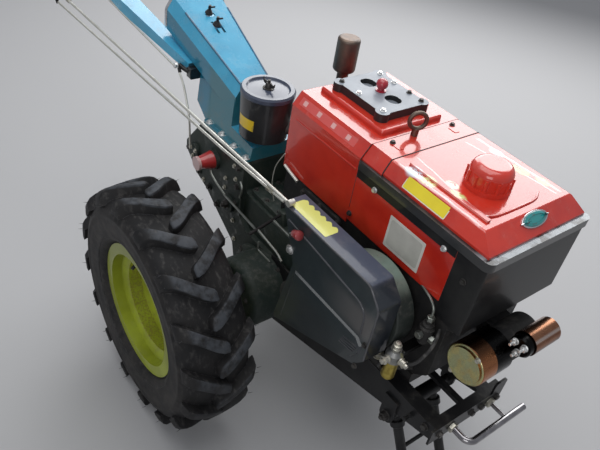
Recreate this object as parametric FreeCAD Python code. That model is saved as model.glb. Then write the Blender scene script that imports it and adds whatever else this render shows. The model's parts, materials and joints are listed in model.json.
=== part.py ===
import FreeCAD, Part
import math
import os

from FreeCAD import Vector

# Two-wheeled walking tractor on its wheels and front stand.
# Lengths are millimetres. Forward is +X, the left side is +Y, up is +Z and the floor is z = 0.
# The pieces are drawn with x = 0 at the wheel axle and are moved to the middle of the length at the end.

# Overall reach from the axle
FRONT_REACH = 748.0
REAR_REACH = 1440.0

# Wheels; the axle is drawn at AXLE_Z and the whole machine is set on the floor at the end
AXLE_Z = 320.0
TRACK = 752.0
TYRE_R = 320.0
TYRE_W = 185.0
RIM_FLANGE_R = 178.0
RIM_SEAT_R = 153.0
RIM_WELL_R = 128.0
RIM_W = 142.0
SHEET_RIM = 4.0
DISC_INSET = 30.0
HUB_FLANGE_R = 72.0
HUB_FLANGE_T = 12.0
HUB_NOSE_R = 40.0
SHAFT_R = 20.0
RUNNING_GAP = 0.05
SEAT_GAP = 0.3

# Gearbox
CASE_HALF_W = 80.0
CASE_TOP_Z = 608.0
CASE_FRONT_X = 150.0
COVER_T = 15.0
BOSS_T = 10.0
HOUSING_R = 46.0
HOUSING_FLANGE_R = 68.0
HOUSING_FLANGE_T = 12.0
SIDE_CASE_X = 64.0
SIDE_CASE_DROP = 2.0
SIDE_CASE_R = 98.0
SIDE_CASE_L = 100.0
TAIL_X = -330.0
TAIL_HALF_W = 50.0
HITCH_BORE_R = 13.0
HITCH_EAR_T = 16.0
HITCH_EAR_HALF_W = 30.0
HITCH_PLATE_T = 12.0
HITCH_REACH = 62.0
HITCH_BORE_BACK = 32.0
HITCH_GAP = 40.0
HITCH_Z = 387.0
CAP_SHAFT_X = -242.0
CAP_SHAFT_Z = 533.0

# Frame
RAIL_T = 5.0
RAIL_TOP_Z = 425.0
RAIL_FLANGE = 38.0
RAIL_START_X = 74.0
RAIL_END_X = 683.0
RAIL_DEEP_Z = 223.0
RAIL_DEEP_X = 120.0
RAIL_FRONT_Z = 388.0
CROSS_LEFT_Y = 121.0
CROSS_FLANGE = 20.0
STRUT_Y0 = 2.0
STRUT_Y1 = 18.0
BAR_R = 8.0
BAR_Z = 405.0
BAR_RIGHT_Y = -45.0
BAR_LEFT_Y = 140.0

# Front stand
PIVOT_X = 565.0
PIVOT_Z = 335.0
PIN_R = 10.0
SLEEVE_R = 18.0
EAR_T = 6.0
EAR_R = 20.0
STAND_LEAN = 30.0
LEG_R = 12.0
LEG_RIGHT_Y = -75.0
LEG_LEFT_Y = 45.0
FOOT_R = 14.0
TIE_DROP = 165.0

# Engine
HOOD_Y = 107.0
HOOD_W = 317.0
HOOD_TOP_W = 272.0
HOOD_REAR_X = 2.0
HOOD_SEAM_X = 257.0
TANK_REAR_X = 322.0
TANK_FRONT_X = 612.0
TANK_TOP_FRONT_X = 575.0
PANEL_FRONT_X = 552.0
SHROUD_FRONT_X = 622.0
HOOD_BOTTOM_Z = 657.0
HOOD_SHOULDER_Z = 829.0
HOOD_TOP_Z = 860.0
PANEL_T = 2.5
PANEL_BOTTOM_Z = 668.0
SHROUD_BOTTOM_Z = 632.0
BAND_LOW_Z = 806.0
BAND_TOP_Z = 826.0
BRIDGE_LOW_Z = 690.0
SUMP_FRONT_X = 560.0
FOOT_T = 16.0
CAP_X = 474.0
CAP_Y = 93.0
CAP_R = 50.0
CAP_H = 54.0
CRANK_X = 420.0
CRANK_Z = 575.0
FLYWHEEL_R = 108.0
FLYWHEEL_W = 50.0
ENGINE_PULLEY_R = 60.0
CLUTCH_X = 272.0
CLUTCH_Z = 462.0
CLUTCH_R = 58.0
CLUTCH_ARM_R = 19.0
CLUTCH_ARM_T = 28.0
BELT_W = 12.0
BELT_T = 8.0
BELT_PITCH = 15.0
GUARD_T = 2.0
GUARD_TOP_Z = 710.0
GUARD_PRESS = 5.0
CLEANER_X = -128.0
CLEANER_Y = -24.0
CLEANER_R = 71.0
CLEANER_TOP_Z = 800.0
STARTER_X = 652.0
STARTER_Z = 566.0
STARTER_R = 48.0
STARTER_BODY_R = 42.0
SOLENOID_X = 702.0
SOLENOID_Z = 625.0
SOLENOID_R = 27.0
FILTER_X = 546.0
FILTER_Y = -127.0
PIPE_R = 15.0
MUFFLER_X = -60.0
MUFFLER_Y = 155.0

# Handles
COLUMN_FRONT_X = -212.0
COLUMN_END_X = -550.0
COLUMN_T = 4.0
BASE_FRONT_X = -97.0
BASE_REAR_X = -392.0
BASE_TAPER = 0.135
SOCKET_L = 20.0
GRIP_R = 17.0
GRIP_L = 124.0
TUBE_R = 13.0
BEAM_END = (-890.0, -150.3, 830.0)
GRIP_BEND = (-1180.0, -268.0, 960.0)
GRIP_END = (6.0 - REAR_REACH, -300.0, 992.0)
LEVER_X = -1050.0
ROD_R = 4.0

COVER_Y = CASE_HALF_W + COVER_T
RAIL_Y = COVER_Y + RAIL_T
WHEEL_Y = TRACK / 2
HOUSING_END_Y = WHEEL_Y - DISC_INSET - HUB_FLANGE_T - 42.0
FLOOR_Z = AXLE_Z - TYRE_R
STAND_SLOPE = math.tan(math.radians(STAND_LEAN))
FOOT_X = PIVOT_X + (PIVOT_Z - FLOOR_Z - FOOT_R) * STAND_SLOPE
ORIGIN_X = (max(FRONT_REACH, FOOT_X + FOOT_R) - REAR_REACH) / 2
TAIL_BACK_X = TAIL_X - HITCH_PLATE_T
HOOD_RIGHT_Y = HOOD_Y - HOOD_W / 2
HOOD_LEFT_Y = HOOD_Y + HOOD_W / 2
BLOCK_RIGHT_Y = HOOD_RIGHT_Y + PANEL_T + SEAT_GAP
BLOCK_LEFT_Y = HOOD_LEFT_Y - PANEL_T - SEAT_GAP
FLYWHEEL_OUT_Y = min(HOOD_RIGHT_Y - 16.5 - FLYWHEEL_W, -RAIL_Y - 18)
FLYWHEEL_IN_Y = FLYWHEEL_OUT_Y + FLYWHEEL_W
BELT_YS = [FLYWHEEL_OUT_Y - 12 - BELT_W - k * BELT_PITCH for k in range(3)]
GUARD_OUT_Y = FLYWHEEL_OUT_Y - 62.0
GUARD_IN_Y = FLYWHEEL_OUT_Y - 6.0

X_DIR = Vector(1, 0, 0)
Y_DIR = Vector(0, 1, 0)
Z_DIR = Vector(0, 0, 1)


def block(x0, x1, y0, y1, z0, z1):
    """A box between two corners."""
    return Part.makeBox(x1 - x0, y1 - y0, z1 - z0, Vector(x0, y0, z0))


def rod(start, end, radius):
    """A round bar from one point to another."""
    a, b = Vector(*start), Vector(*end)
    return Part.makeCylinder(radius, a.distanceToPoint(b), a, b - a)


def disc(x, z, radius, y0, y1):
    """A round plate across the machine, from y0 to y1."""
    return Part.makeCylinder(radius, y1 - y0, Vector(x, y0, z), Y_DIR)


def upright(x, y, radius, z0, z1):
    """A round post from z0 to z1."""
    return Part.makeCylinder(radius, z1 - z0, Vector(x, y, z0), Z_DIR)


def side_plate(points, y0, y1):
    """A plate with the side view outline given as (x, z) points, from y0 to y1."""
    ring = [Vector(x, y0, z) for x, z in points]
    face = Part.Face(Part.makePolygon(ring + ring[:1]))
    return face.extrude(Vector(0, y1 - y0, 0))


def cross_bar(points, x0, x1):
    """A bar with the cross outline given as (y, z) points, from x0 to x1."""
    ring = [Vector(x0, y, z) for y, z in points]
    face = Part.Face(Part.makePolygon(ring + ring[:1]))
    return face.extrude(Vector(x1 - x0, 0, 0))


def turned(points, axis_point, axis_dir):
    """A turned body: (radius, along) points spun round an axis."""
    across = X_DIR if abs(axis_dir.x) < 0.5 else Z_DIR
    ring = [axis_point + across * r + axis_dir * a for r, a in points]
    face = Part.Face(Part.makePolygon(ring + ring[:1]))
    return face.revolve(axis_point, axis_dir, 360)


def bent_tube(points, radius, bend):
    """A round tube along straight runs joined by arcs of one bend radius."""
    spots = [Vector(*p) for p in points]
    edges, start = [], spots[0]
    for before, corner, after in zip(spots, spots[1:], spots[2:]):
        back = (before - corner).normalize()
        ahead = (after - corner).normalize()
        half = back.getAngle(ahead) / 2
        reach = bend / math.tan(half)
        inward = (back + ahead).normalize()
        mid = corner + inward * (bend / math.sin(half) - bend)
        arc_in, arc_out = corner + back * reach, corner + ahead * reach
        edges.append(Part.makeLine(start, arc_in))
        edges.append(Part.Arc(arc_in, mid, arc_out).toShape())
        start = arc_out
    edges.append(Part.makeLine(start, spots[-1]))
    path = Part.Wire(edges)
    ring = Part.Wire(Part.makeCircle(radius, spots[0], spots[1] - spots[0]))
    return path.makePipeShell([ring], True, False)


def flat_face(corners):
    """A flat face with straight edges."""
    return Part.Face(Part.makePolygon(corners + corners[:1]))


def flat_sided(rings):
    """A solid with flat sides through a row of rings that have matching corners."""
    faces = [flat_face(rings[0]), flat_face(rings[-1])]
    for near, far in zip(rings, rings[1:]):
        for k in range(len(near)):
            n = (k + 1) % len(near)
            faces.append(flat_face([near[k], near[n], far[n], far[k]]))
    return outward(Part.makeSolid(Part.makeShell(faces)))


def pressed_panel(points, y, rise, low, high):
    """A flat topped swell on a plate at y: an outline scaled by low at its foot and by high at its top."""
    mid_x = sum(x for x, z in points) / len(points)
    mid_z = sum(z for x, z in points) / len(points)
    rings = []
    for scale, level in [(low, y), (high, y - rise)]:
        rings.append([Vector(mid_x + (x - mid_x) * scale, level, mid_z + (z - mid_z) * scale)
                      for x, z in points])
    return flat_sided(rings)


def outward(shape):
    """The same solid with its faces turned outward."""
    return shape.reversed() if shape.Volume < 0 else shape


def mirrored(shape):
    """The same piece on the other side of the machine."""
    return shape.mirror(Vector(0, 0, 0), Y_DIR)


def rounded(shape, radius, test):
    """Rounds the edges whose middle passes a test."""
    return shape.makeFillet(radius, [e for e in shape.Edges if test(e.CenterOfMass, e)])


def runs_along(edge, direction):
    """True for a straight edge along a direction."""
    if not isinstance(edge.Curve, Part.Line):
        return False
    return abs(abs(edge.Curve.Direction.dot(direction)) - 1) < 1e-6


def tyre():
    """Right tyre: crown, shoulders, bulged walls and beads that sit on the rim."""
    half = TYRE_W / 2
    bead = RIM_W / 2 - SHEET_RIM - SEAT_GAP
    wall_r = (TYRE_R + RIM_SEAT_R) / 2
    # radius, distance from the middle of the tread
    section = [(TYRE_R, -0.45 * half), (TYRE_R - 10, -0.84 * half), (TYRE_R - 34, -0.96 * half),
               (wall_r, -half), (RIM_FLANGE_R + 10, -0.86 * half), (RIM_FLANGE_R + 3, -bead),
               (RIM_SEAT_R + SEAT_GAP, -bead)]
    section += [(r, -a) for r, a in reversed(section)]
    return turned(section, Vector(0, -WHEEL_Y, AXLE_Z), Y_DIR)


def rim():
    """Right rim: flanges, seats and well, with the dished disc set in from the middle."""
    half, t = RIM_W / 2, SHEET_RIM
    disc_y = DISC_INSET
    # radius, distance from the middle of the tread; the outside first, then back along the inside
    outside = [(RIM_FLANGE_R, -half), (RIM_FLANGE_R, -half + t), (RIM_SEAT_R, -half + t + 0.2),
               (RIM_SEAT_R - 2, -half + 26), (RIM_WELL_R, -half + 38), (RIM_WELL_R, half - 38),
               (RIM_SEAT_R - 2, half - 26), (RIM_SEAT_R, half - t - 0.2), (RIM_FLANGE_R, half - t),
               (RIM_FLANGE_R, half)]
    inside = [(RIM_SEAT_R - t, half), (RIM_SEAT_R - t - 2, half - 26), (RIM_WELL_R - t, half - 36),
              (RIM_WELL_R - t, -half + 36), (RIM_SEAT_R - t - 2, -half + 26), (RIM_SEAT_R - t, -half)]
    barrel = turned(outside + inside, Vector(0, -WHEEL_Y, AXLE_Z), Y_DIR)
    web_r = RIM_WELL_R - t + 0.5
    dish = [(SHAFT_R + 3, disc_y), (HUB_FLANGE_R, disc_y), (HUB_FLANGE_R + 22, disc_y - 20),
            (web_r, disc_y - 26), (web_r, disc_y - 32), (HUB_FLANGE_R + 19, disc_y - 26),
            (HUB_FLANGE_R - 2, disc_y - 6), (SHAFT_R + 3, disc_y - 6)]
    web = turned(dish, Vector(0, -WHEEL_Y, AXLE_Z), Y_DIR)
    return barrel.fuse(web).removeSplitter()


def hub():
    """Right hub: bolted flange, turned barrel and the axle shaft that runs in the housing."""
    face_y = -WHEEL_Y + DISC_INSET
    inner = -HOUSING_END_Y - 5
    # radius, y
    section = [(0, face_y - 34), (SHAFT_R, face_y - 34), (SHAFT_R + 2, face_y), (HUB_FLANGE_R, face_y),
               (HUB_FLANGE_R, face_y + HUB_FLANGE_T), (HUB_NOSE_R + 4, face_y + HUB_FLANGE_T + 6),
               (HUB_NOSE_R, inner), (SHAFT_R, inner), (SHAFT_R, -COVER_Y - 10), (0, -COVER_Y - 10)]
    return turned(section, Vector(0, 0, AXLE_Z), Y_DIR)


def axle_housing():
    """Right axle housing: flange, round side case, tapered tube and bearing end, bored for the shaft."""
    start, end = -COVER_Y, -HOUSING_END_Y
    bore = SHAFT_R + RUNNING_GAP
    # radius, y
    section = [(bore, start), (HOUSING_FLANGE_R, start), (HOUSING_FLANGE_R, start - HOUSING_FLANGE_T),
               (HOUSING_R + 4, start - HOUSING_FLANGE_T - 8), (HOUSING_R - 4, end + 34),
               (HOUSING_R + 8, end + 26), (HOUSING_R + 8, end), (bore, end)]
    tube = turned(section, Vector(0, 0, AXLE_Z), Y_DIR)
    case_end = -RAIL_Y - SIDE_CASE_L
    case = disc(SIDE_CASE_X, AXLE_Z - SIDE_CASE_DROP, SIDE_CASE_R, case_end, -RAIL_Y)
    case = rounded(case, 24, lambda c, e: c.y < case_end + 1)
    return case.fuse(tube).cut(disc(0, AXLE_Z, bore, end - 1, start + 1)).removeSplitter()


# side view of the gearbox from its top round its rear and down to its lower front corner: x, z
CASE_REAR = [(BASE_FRONT_X, CASE_TOP_Z), (-320, CASE_TOP_Z), (-402, 505), (-402, 478), (-330, 425),
             (-273, 408), (-210, 371), (-119, 322), (-101, 262), (-60, 215), (90, 215), (CASE_FRONT_X, 262)]
CASE_FRONT = [(CASE_FRONT_X, 500), (CASE_FRONT_X - 40, 508), (BASE_FRONT_X, 508)]
COVER_FRONT = [(CASE_FRONT_X, 405), (-60, 405), (BASE_FRONT_X, 430)]
# tail that carries the drawbar bracket: x, z
TAIL = [(-240, 470), (TAIL_X, 470), (TAIL_X, 345), (-104, 300)]
# bearing bosses on a cover: x, z, radius
BOSSES = [(-150, 440, 26), (CAP_SHAFT_X, CAP_SHAFT_Z, 30), (-345, 500, 24)]
# bolt pads round the edge of a cover: x, z
BOLT_PADS = [(-300, 590), (-240, 592), (-180, 592), (-118, 580), (-116, 520), (-118, 462), (-209, 396),
             (-258, 426), (-318, 445), (-380, 492)]


def gearbox_case():
    """Cast case between the two covers, with a tail for the drawbar bracket and an arm to the clutch."""
    case = side_plate(CASE_REAR + CASE_FRONT, -CASE_HALF_W, CASE_HALF_W)
    case = rounded(case, 12, lambda c, e: runs_along(e, Y_DIR))
    tail = rounded(side_plate(TAIL, -TAIL_HALF_W, TAIL_HALF_W), 10,
                   lambda c, e: runs_along(e, Z_DIR) and c.x < TAIL_X + 1)
    arm = block(CASE_FRONT_X - 4, CLUTCH_X, -CASE_HALF_W, -CASE_HALF_W + CLUTCH_ARM_T,
                CLUTCH_Z - CLUTCH_ARM_R, CLUTCH_Z + CLUTCH_ARM_R)
    arm = arm.fuse(disc(CLUTCH_X, CLUTCH_Z, CLUTCH_ARM_R, -CASE_HALF_W, -CASE_HALF_W + CLUTCH_ARM_T))
    return case.fuse(tail).fuse(arm).removeSplitter()


def gearbox_cover():
    """Right cover: cast plate with raised bearing bosses and a pad for each bolt."""
    plate = side_plate(CASE_REAR + COVER_FRONT, -COVER_Y, -CASE_HALF_W)
    plate = rounded(plate, 12, lambda c, e: runs_along(e, Y_DIR))
    for x, z, r in BOSSES:
        plate = plate.fuse(disc(x, z, r, -COVER_Y - BOSS_T, -COVER_Y + 1))
    for x, z in BOLT_PADS:
        plate = plate.fuse(disc(x, z, 11, -COVER_Y - 3, -COVER_Y + 1))
    return plate.removeSplitter()


def hitch_bracket():
    """Rear drawbar bracket: two level ears with a bore for an upright pin."""
    low, high = HITCH_Z - HITCH_GAP / 2, HITCH_Z + HITCH_GAP / 2
    bottom, top = low - HITCH_EAR_T, high + HITCH_EAR_T
    tip = TAIL_BACK_X - HITCH_REACH
    half = HITCH_EAR_HALF_W
    plate = block(TAIL_BACK_X, TAIL_X, 2 - TAIL_HALF_W, TAIL_HALF_W - 2, bottom, top)
    ears = block(tip, TAIL_BACK_X, -half, half, bottom, low)
    ears = ears.fuse(block(tip, TAIL_BACK_X, -half, half, high, top))
    ears = rounded(ears, 20, lambda c, e: runs_along(e, Z_DIR) and abs(c.x - tip) < 1)
    hole = upright(TAIL_BACK_X - HITCH_BORE_BACK, 0, HITCH_BORE_R, bottom - 1, top + 1)
    return plate.fuse(ears).cut(hole).removeSplitter()


def frame_rail():
    """Right rail: plate that deepens to the gearbox, with a level top flange."""
    plate = side_plate([(RAIL_START_X, RAIL_TOP_Z), (RAIL_START_X, RAIL_DEEP_Z), (RAIL_DEEP_X, RAIL_DEEP_Z),
                        (RAIL_END_X, RAIL_FRONT_Z), (RAIL_END_X, RAIL_TOP_Z)], -RAIL_Y, -COVER_Y)
    flange = block(CASE_FRONT_X + 5, RAIL_END_X, -COVER_Y, -RAIL_Y + RAIL_FLANGE, RAIL_TOP_Z - RAIL_T,
                   RAIL_TOP_Z)
    return plate.fuse(flange).removeSplitter()


def cross_member():
    """Angle across the front of the rails, with a flat strut back to the sump and an upright lug."""
    end = RAIL_END_X + RAIL_T
    up = block(RAIL_END_X, end, -RAIL_Y - 12, CROSS_LEFT_Y, RAIL_FRONT_Z - 3, RAIL_TOP_Z + RAIL_T)
    top = block(RAIL_END_X - CROSS_FLANGE, RAIL_END_X, -RAIL_Y, CROSS_LEFT_Y, RAIL_TOP_Z,
                RAIL_TOP_Z + RAIL_T)
    lug = block(RAIL_END_X, end, CROSS_LEFT_Y - 40, CROSS_LEFT_Y, RAIL_TOP_Z, RAIL_TOP_Z + 38)
    lug = rounded(lug, 12, lambda c, e: runs_along(e, X_DIR) and c.z > RAIL_TOP_Z + 30)
    strut = block(SUMP_FRONT_X, RAIL_END_X, STRUT_Y0, STRUT_Y1, RAIL_TOP_Z - 14, RAIL_TOP_Z - 4)
    return up.fuse(top).fuse(lug).fuse(strut).removeSplitter()


def guard_bar():
    """Bright round bar round the front, open at its left end, with a short second strut."""
    start = RAIL_END_X + RAIL_T
    front = FRONT_REACH - BAR_R
    bar = bent_tube([(start, BAR_RIGHT_Y, BAR_Z), (front, BAR_RIGHT_Y, BAR_Z), (front, BAR_LEFT_Y, BAR_Z)],
                    BAR_R, 20)
    return bar.fuse(rod((start, CROSS_LEFT_Y - 42, BAR_Z), (front, CROSS_LEFT_Y - 42, BAR_Z), 5))


def stand_pivot():
    """Pivot rod with an ear on each rail."""
    out = RAIL_Y + EAR_T
    body = disc(PIVOT_X, PIVOT_Z, PIN_R, -out, out)
    for y in (-out, RAIL_Y):
        ear = block(PIVOT_X - EAR_R, PIVOT_X + EAR_R, y, y + EAR_T, PIVOT_Z, RAIL_TOP_Z - 30)
        body = body.fuse(ear.fuse(disc(PIVOT_X, PIVOT_Z, EAR_R, y, y + EAR_T)))
    return body.removeSplitter()


def front_stand():
    """Folding stand: sleeve on the pivot, two legs, a foot bar and a thin tie."""
    foot_z = FLOOR_Z + FOOT_R
    sleeve = disc(PIVOT_X, PIVOT_Z, SLEEVE_R, LEG_RIGHT_Y - 14, LEG_LEFT_Y + 14)
    body = sleeve.fuse(disc(FOOT_X, foot_z, FOOT_R, -140, 110))
    for y in (LEG_RIGHT_Y, LEG_LEFT_Y):
        body = body.fuse(rod((PIVOT_X, y, PIVOT_Z), (FOOT_X, y, foot_z), LEG_R))
    body = body.fuse(disc(PIVOT_X + TIE_DROP * STAND_SLOPE, PIVOT_Z - TIE_DROP, 6, LEG_RIGHT_Y, LEG_LEFT_Y))
    return body.cut(disc(PIVOT_X, PIVOT_Z, PIN_R + RUNNING_GAP, LEG_RIGHT_Y - 20, LEG_LEFT_Y + 20))


def engine_block():
    """Crankcase and cylinder block on its feet, with the sump between the rails."""
    rear = CASE_FRONT_X + 8
    body = side_plate([(20, 518), (20, HOOD_BOTTOM_Z), (HOOD_SEAM_X, HOOD_BOTTOM_Z),
                       (HOOD_SEAM_X, BRIDGE_LOW_Z), (619, BRIDGE_LOW_Z), (619, SHROUD_BOTTOM_Z), (592, 620),
                       (592, 470), (560, 440), (rear, 440), (rear, 518)],
                      BLOCK_RIGHT_Y, BLOCK_LEFT_Y - 50)
    body = rounded(body, 12, lambda c, e: runs_along(e, Y_DIR) and c.z < 480)
    foot_y = COVER_Y + 3
    for y0, y1 in [(-foot_y, BLOCK_RIGHT_Y + 2), (60, foot_y)]:
        body = body.fuse(block(190, 520, y0, y1, RAIL_TOP_Z, RAIL_TOP_Z + FOOT_T))
    sump = block(190, SUMP_FRONT_X, -55, 55, 398, RAIL_TOP_Z + FOOT_T)
    sump = rounded(sump, 14, lambda c, e: c.z < 399)
    return body.fuse(sump).removeSplitter()


def cylinder_head():
    """Head behind the block with a rounded valve cover."""
    head = block(-60, 20, 34, 196, 516, 640)
    head = rounded(head, 12, lambda c, e: runs_along(e, X_DIR))
    cover = block(-92, -60, 44, 182, 522, 612)
    cover = rounded(cover, 18, lambda c, e: c.x < -91 or runs_along(e, X_DIR))
    return head.fuse(cover).removeSplitter()


def hood_section(inset=0.0):
    """Cross outline of the hood as (y, z) points, with sloped shoulders."""
    half, top = HOOD_W / 2 - inset, HOOD_TOP_W / 2 - inset
    return [(HOOD_Y - half, HOOD_BOTTOM_Z), (HOOD_Y - half, HOOD_SHOULDER_Z), (HOOD_Y - top, HOOD_TOP_Z),
            (HOOD_Y + top, HOOD_TOP_Z), (HOOD_Y + half, HOOD_SHOULDER_Z), (HOOD_Y + half, HOOD_BOTTOM_Z)]


def radiator_hood():
    """Red hood over the water hopper, rounded at its rear end, with a raised pad on top."""
    hood = cross_bar(hood_section(), HOOD_REAR_X, HOOD_SEAM_X)
    hood = rounded(hood, 9, lambda c, e: c.x < HOOD_REAR_X + 1 and c.z > HOOD_BOTTOM_Z + 5)
    top = HOOD_TOP_Z + 12
    pad = block(24, 243, HOOD_Y - 95, HOOD_Y + 95, HOOD_TOP_Z - 1, top)
    pad = rounded(pad, 6, lambda c, e: c.z > top - 1 or runs_along(e, Z_DIR))
    return hood.fuse(pad).removeSplitter()


def hood_bridge():
    """Narrow red strip between the hood and the fuel tank, standing on the block."""
    points = [(y, max(z, BRIDGE_LOW_Z)) for y, z in hood_section(PANEL_T + SEAT_GAP)]
    return cross_bar(points, HOOD_SEAM_X + SEAT_GAP, TANK_REAR_X - SEAT_GAP)


def radiator_cover():
    """Black cover with two oval openings and a lug at each corner."""
    low, high = HOOD_TOP_Z + 12, HOOD_TOP_Z + 32
    body = block(42, 212, HOOD_Y - 70, HOOD_Y + 68, low, high)
    for x in (54, 200):
        for y in (HOOD_Y - 62, HOOD_Y + 60):
            body = body.fuse(upright(x, y, 17, low, high))
    for x in (82, 168):
        slot = block(x - 20, x + 20, HOOD_Y - 19, HOOD_Y + 17, high - 12, high + 1)
        body = body.cut(rounded(slot, 17, lambda c, e: runs_along(e, Z_DIR)))
    return body.removeSplitter()


def fuel_tank():
    """Fuel tank with sloped shoulders, a sloped front and rounded top edges."""
    half, top = HOOD_W / 2 - 6, HOOD_TOP_W / 2
    shoulder_z = HOOD_SHOULDER_Z + 2
    across = cross_bar([(HOOD_Y - half, BAND_TOP_Z), (HOOD_Y - half, shoulder_z), (HOOD_Y - top, HOOD_TOP_Z),
                        (HOOD_Y + top, HOOD_TOP_Z), (HOOD_Y + half, shoulder_z),
                        (HOOD_Y + half, BAND_TOP_Z)], TANK_REAR_X, TANK_FRONT_X)
    along = side_plate([(TANK_REAR_X, BAND_TOP_Z), (TANK_REAR_X, HOOD_TOP_Z), (TANK_TOP_FRONT_X, HOOD_TOP_Z),
                        (TANK_FRONT_X, shoulder_z), (TANK_FRONT_X, BAND_TOP_Z)],
                       HOOD_Y - HOOD_W, HOOD_Y + HOOD_W)
    body = rounded(across.common(along), 7, lambda c, e: c.z > HOOD_TOP_Z - 0.5 and c.x > TANK_REAR_X + 1)
    return body.fuse(block(350, 560, -6, 4, HOOD_TOP_Z - 1, HOOD_TOP_Z + 5)).removeSplitter()


def tank_cap():
    """Broad domed filler cap with grip ridges round its wall."""
    base = HOOD_TOP_Z
    wall = CAP_R - 5
    cap = Part.makeCylinder(wall, CAP_H, Vector(CAP_X, CAP_Y, base), Z_DIR)
    cap = rounded(cap, 18, lambda c, e: c.z > base + CAP_H - 1)
    cap = cap.fuse(Part.makeCylinder(CAP_R, 10, Vector(CAP_X, CAP_Y, base), Z_DIR))
    for k in range(12):
        turn = math.radians(30 * k)
        cap = cap.fuse(upright(CAP_X + wall * math.cos(turn), CAP_Y + wall * math.sin(turn), 4, base + 9,
                               base + CAP_H - 20))
    return cap.removeSplitter()


def tank_band():
    """Black ledge frame that carries the tank."""
    outer = block(HOOD_SEAM_X + 2, 628, HOOD_RIGHT_Y - 4, HOOD_LEFT_Y + 4, BAND_LOW_Z, BAND_TOP_Z)
    outer = rounded(outer, 16, lambda c, e: runs_along(e, Z_DIR) and c.x > 600)
    hole = block(TANK_REAR_X + 20, 585, HOOD_RIGHT_Y + 26, HOOD_LEFT_Y - 26, BAND_LOW_Z - 1, BAND_TOP_Z + 1)
    bridge = block(HOOD_SEAM_X, TANK_REAR_X, HOOD_RIGHT_Y + PANEL_T, HOOD_LEFT_Y - PANEL_T,
                   BAND_LOW_Z - 1, BAND_TOP_Z + 1)
    return outer.cut(hole).cut(bridge)


def side_panel():
    """Red side panel below the band."""
    return block(HOOD_SEAM_X + SEAT_GAP, PANEL_FRONT_X, HOOD_RIGHT_Y, HOOD_RIGHT_Y + PANEL_T,
                 PANEL_BOTTOM_Z, BAND_LOW_Z)


def side_panel_left():
    """Red panel on the left side."""
    return side_panel().translated(Vector(0, HOOD_W - PANEL_T, 0))


def front_shroud():
    """Black sheet round the front corners and face."""
    t = PANEL_T
    outer = block(PANEL_FRONT_X, SHROUD_FRONT_X, HOOD_RIGHT_Y, HOOD_LEFT_Y, SHROUD_BOTTOM_Z, BAND_LOW_Z)
    inner = block(PANEL_FRONT_X - 1, SHROUD_FRONT_X - t, HOOD_RIGHT_Y + t, HOOD_LEFT_Y - t,
                  SHROUD_BOTTOM_Z - 1, BAND_LOW_Z + 1)
    outer = rounded(outer, 2 * t, lambda c, e: runs_along(e, Z_DIR) and c.x > PANEL_FRONT_X + 1)
    return outer.cut(inner)


def lifting_eye():
    """Steel eye standing on the bridge."""
    x, y = HOOD_SEAM_X + 11, HOOD_Y - 20
    ring = Part.makeTorus(19, 5, Vector(x, y, HOOD_TOP_Z + 36), Vector(1, -0.55, 0))
    return ring.fuse(upright(x, y, 8, HOOD_TOP_Z, HOOD_TOP_Z + 18))


def belt_outline(c1, r1, c2, r2, y):
    """Closed outline round two pulleys: two arcs and their outer tangents, in the plane y."""
    a, b = Vector(c1[0], y, c1[1]), Vector(c2[0], y, c2[1])
    along = (b - a).normalize()
    side = Vector(-along.z, 0, along.x)
    lean = math.asin((r1 - r2) / a.distanceToPoint(b))
    up = along * math.sin(lean) + side * math.cos(lean)
    down = along * math.sin(lean) - side * math.cos(lean)
    a_up, a_down, b_up, b_down = a + up * r1, a + down * r1, b + up * r2, b + down * r2
    edges = [Part.Arc(a_down, a - along * r1, a_up).toShape(), Part.makeLine(a_up, b_up),
             Part.Arc(b_up, b + along * r2, b_down).toShape(), Part.makeLine(b_down, a_down)]
    return Part.Face(Part.Wire(edges))


def drive_belts():
    """Three belts round the two pulleys."""
    belts = []
    ends = (CRANK_X, CRANK_Z), (CLUTCH_X, CLUTCH_Z)
    for y in BELT_YS:
        rings = [belt_outline(ends[0], ENGINE_PULLEY_R - BELT_T + gap, ends[1], CLUTCH_R - BELT_T + gap, y)
                 for gap in (SEAT_GAP + BELT_T, SEAT_GAP)]
        belts.append(rings[0].cut(rings[1]).extrude(Vector(0, BELT_W, 0)))
    return Part.makeCompound(belts)


def pulley(x, z, radius):
    """Pulley with a groove for each belt."""
    wheel = disc(x, z, radius, BELT_YS[-1] - 3, BELT_YS[0] + BELT_W + 3)
    for y in BELT_YS:
        ring = disc(x, z, radius + 1, y - 0.5, y + BELT_W + 0.5)
        wheel = wheel.cut(ring.cut(disc(x, z, radius - BELT_T, y - 1, y + BELT_W + 1)))
    return wheel


def engine_pulley():
    """Pulley bolted to the flywheel."""
    nave = disc(CRANK_X, CRANK_Z, 44, BELT_YS[0] + BELT_W + 2, FLYWHEEL_OUT_Y)
    return pulley(CRANK_X, CRANK_Z, ENGINE_PULLEY_R).fuse(nave)


def clutch_pulley():
    """Clutch drum with belt grooves on the shaft in the arm of the gearbox."""
    nave = disc(CLUTCH_X, CLUTCH_Z, CLUTCH_ARM_R - 2, BELT_YS[0] + BELT_W + 2, -CASE_HALF_W)
    return pulley(CLUTCH_X, CLUTCH_Z, CLUTCH_R).fuse(nave)


def flywheel():
    """Cast flywheel on the crankshaft end."""
    wheel = rounded(disc(CRANK_X, CRANK_Z, FLYWHEEL_R, FLYWHEEL_OUT_Y, FLYWHEEL_IN_Y), 4, lambda c, e: True)
    return wheel.fuse(disc(CRANK_X, CRANK_Z, 28, FLYWHEEL_IN_Y - 1, BLOCK_RIGHT_Y))


# belt guard, side view: ends of its sloped floor, and the pressed swell on its outer face
GUARD_FLOOR = [(210.0, 366.0), (490.0, 484.0)]
GUARD_SWELL = [(262, 566), (486, 566), (502, 552), (502, 530), (482, 498), (238, 396)]


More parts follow.
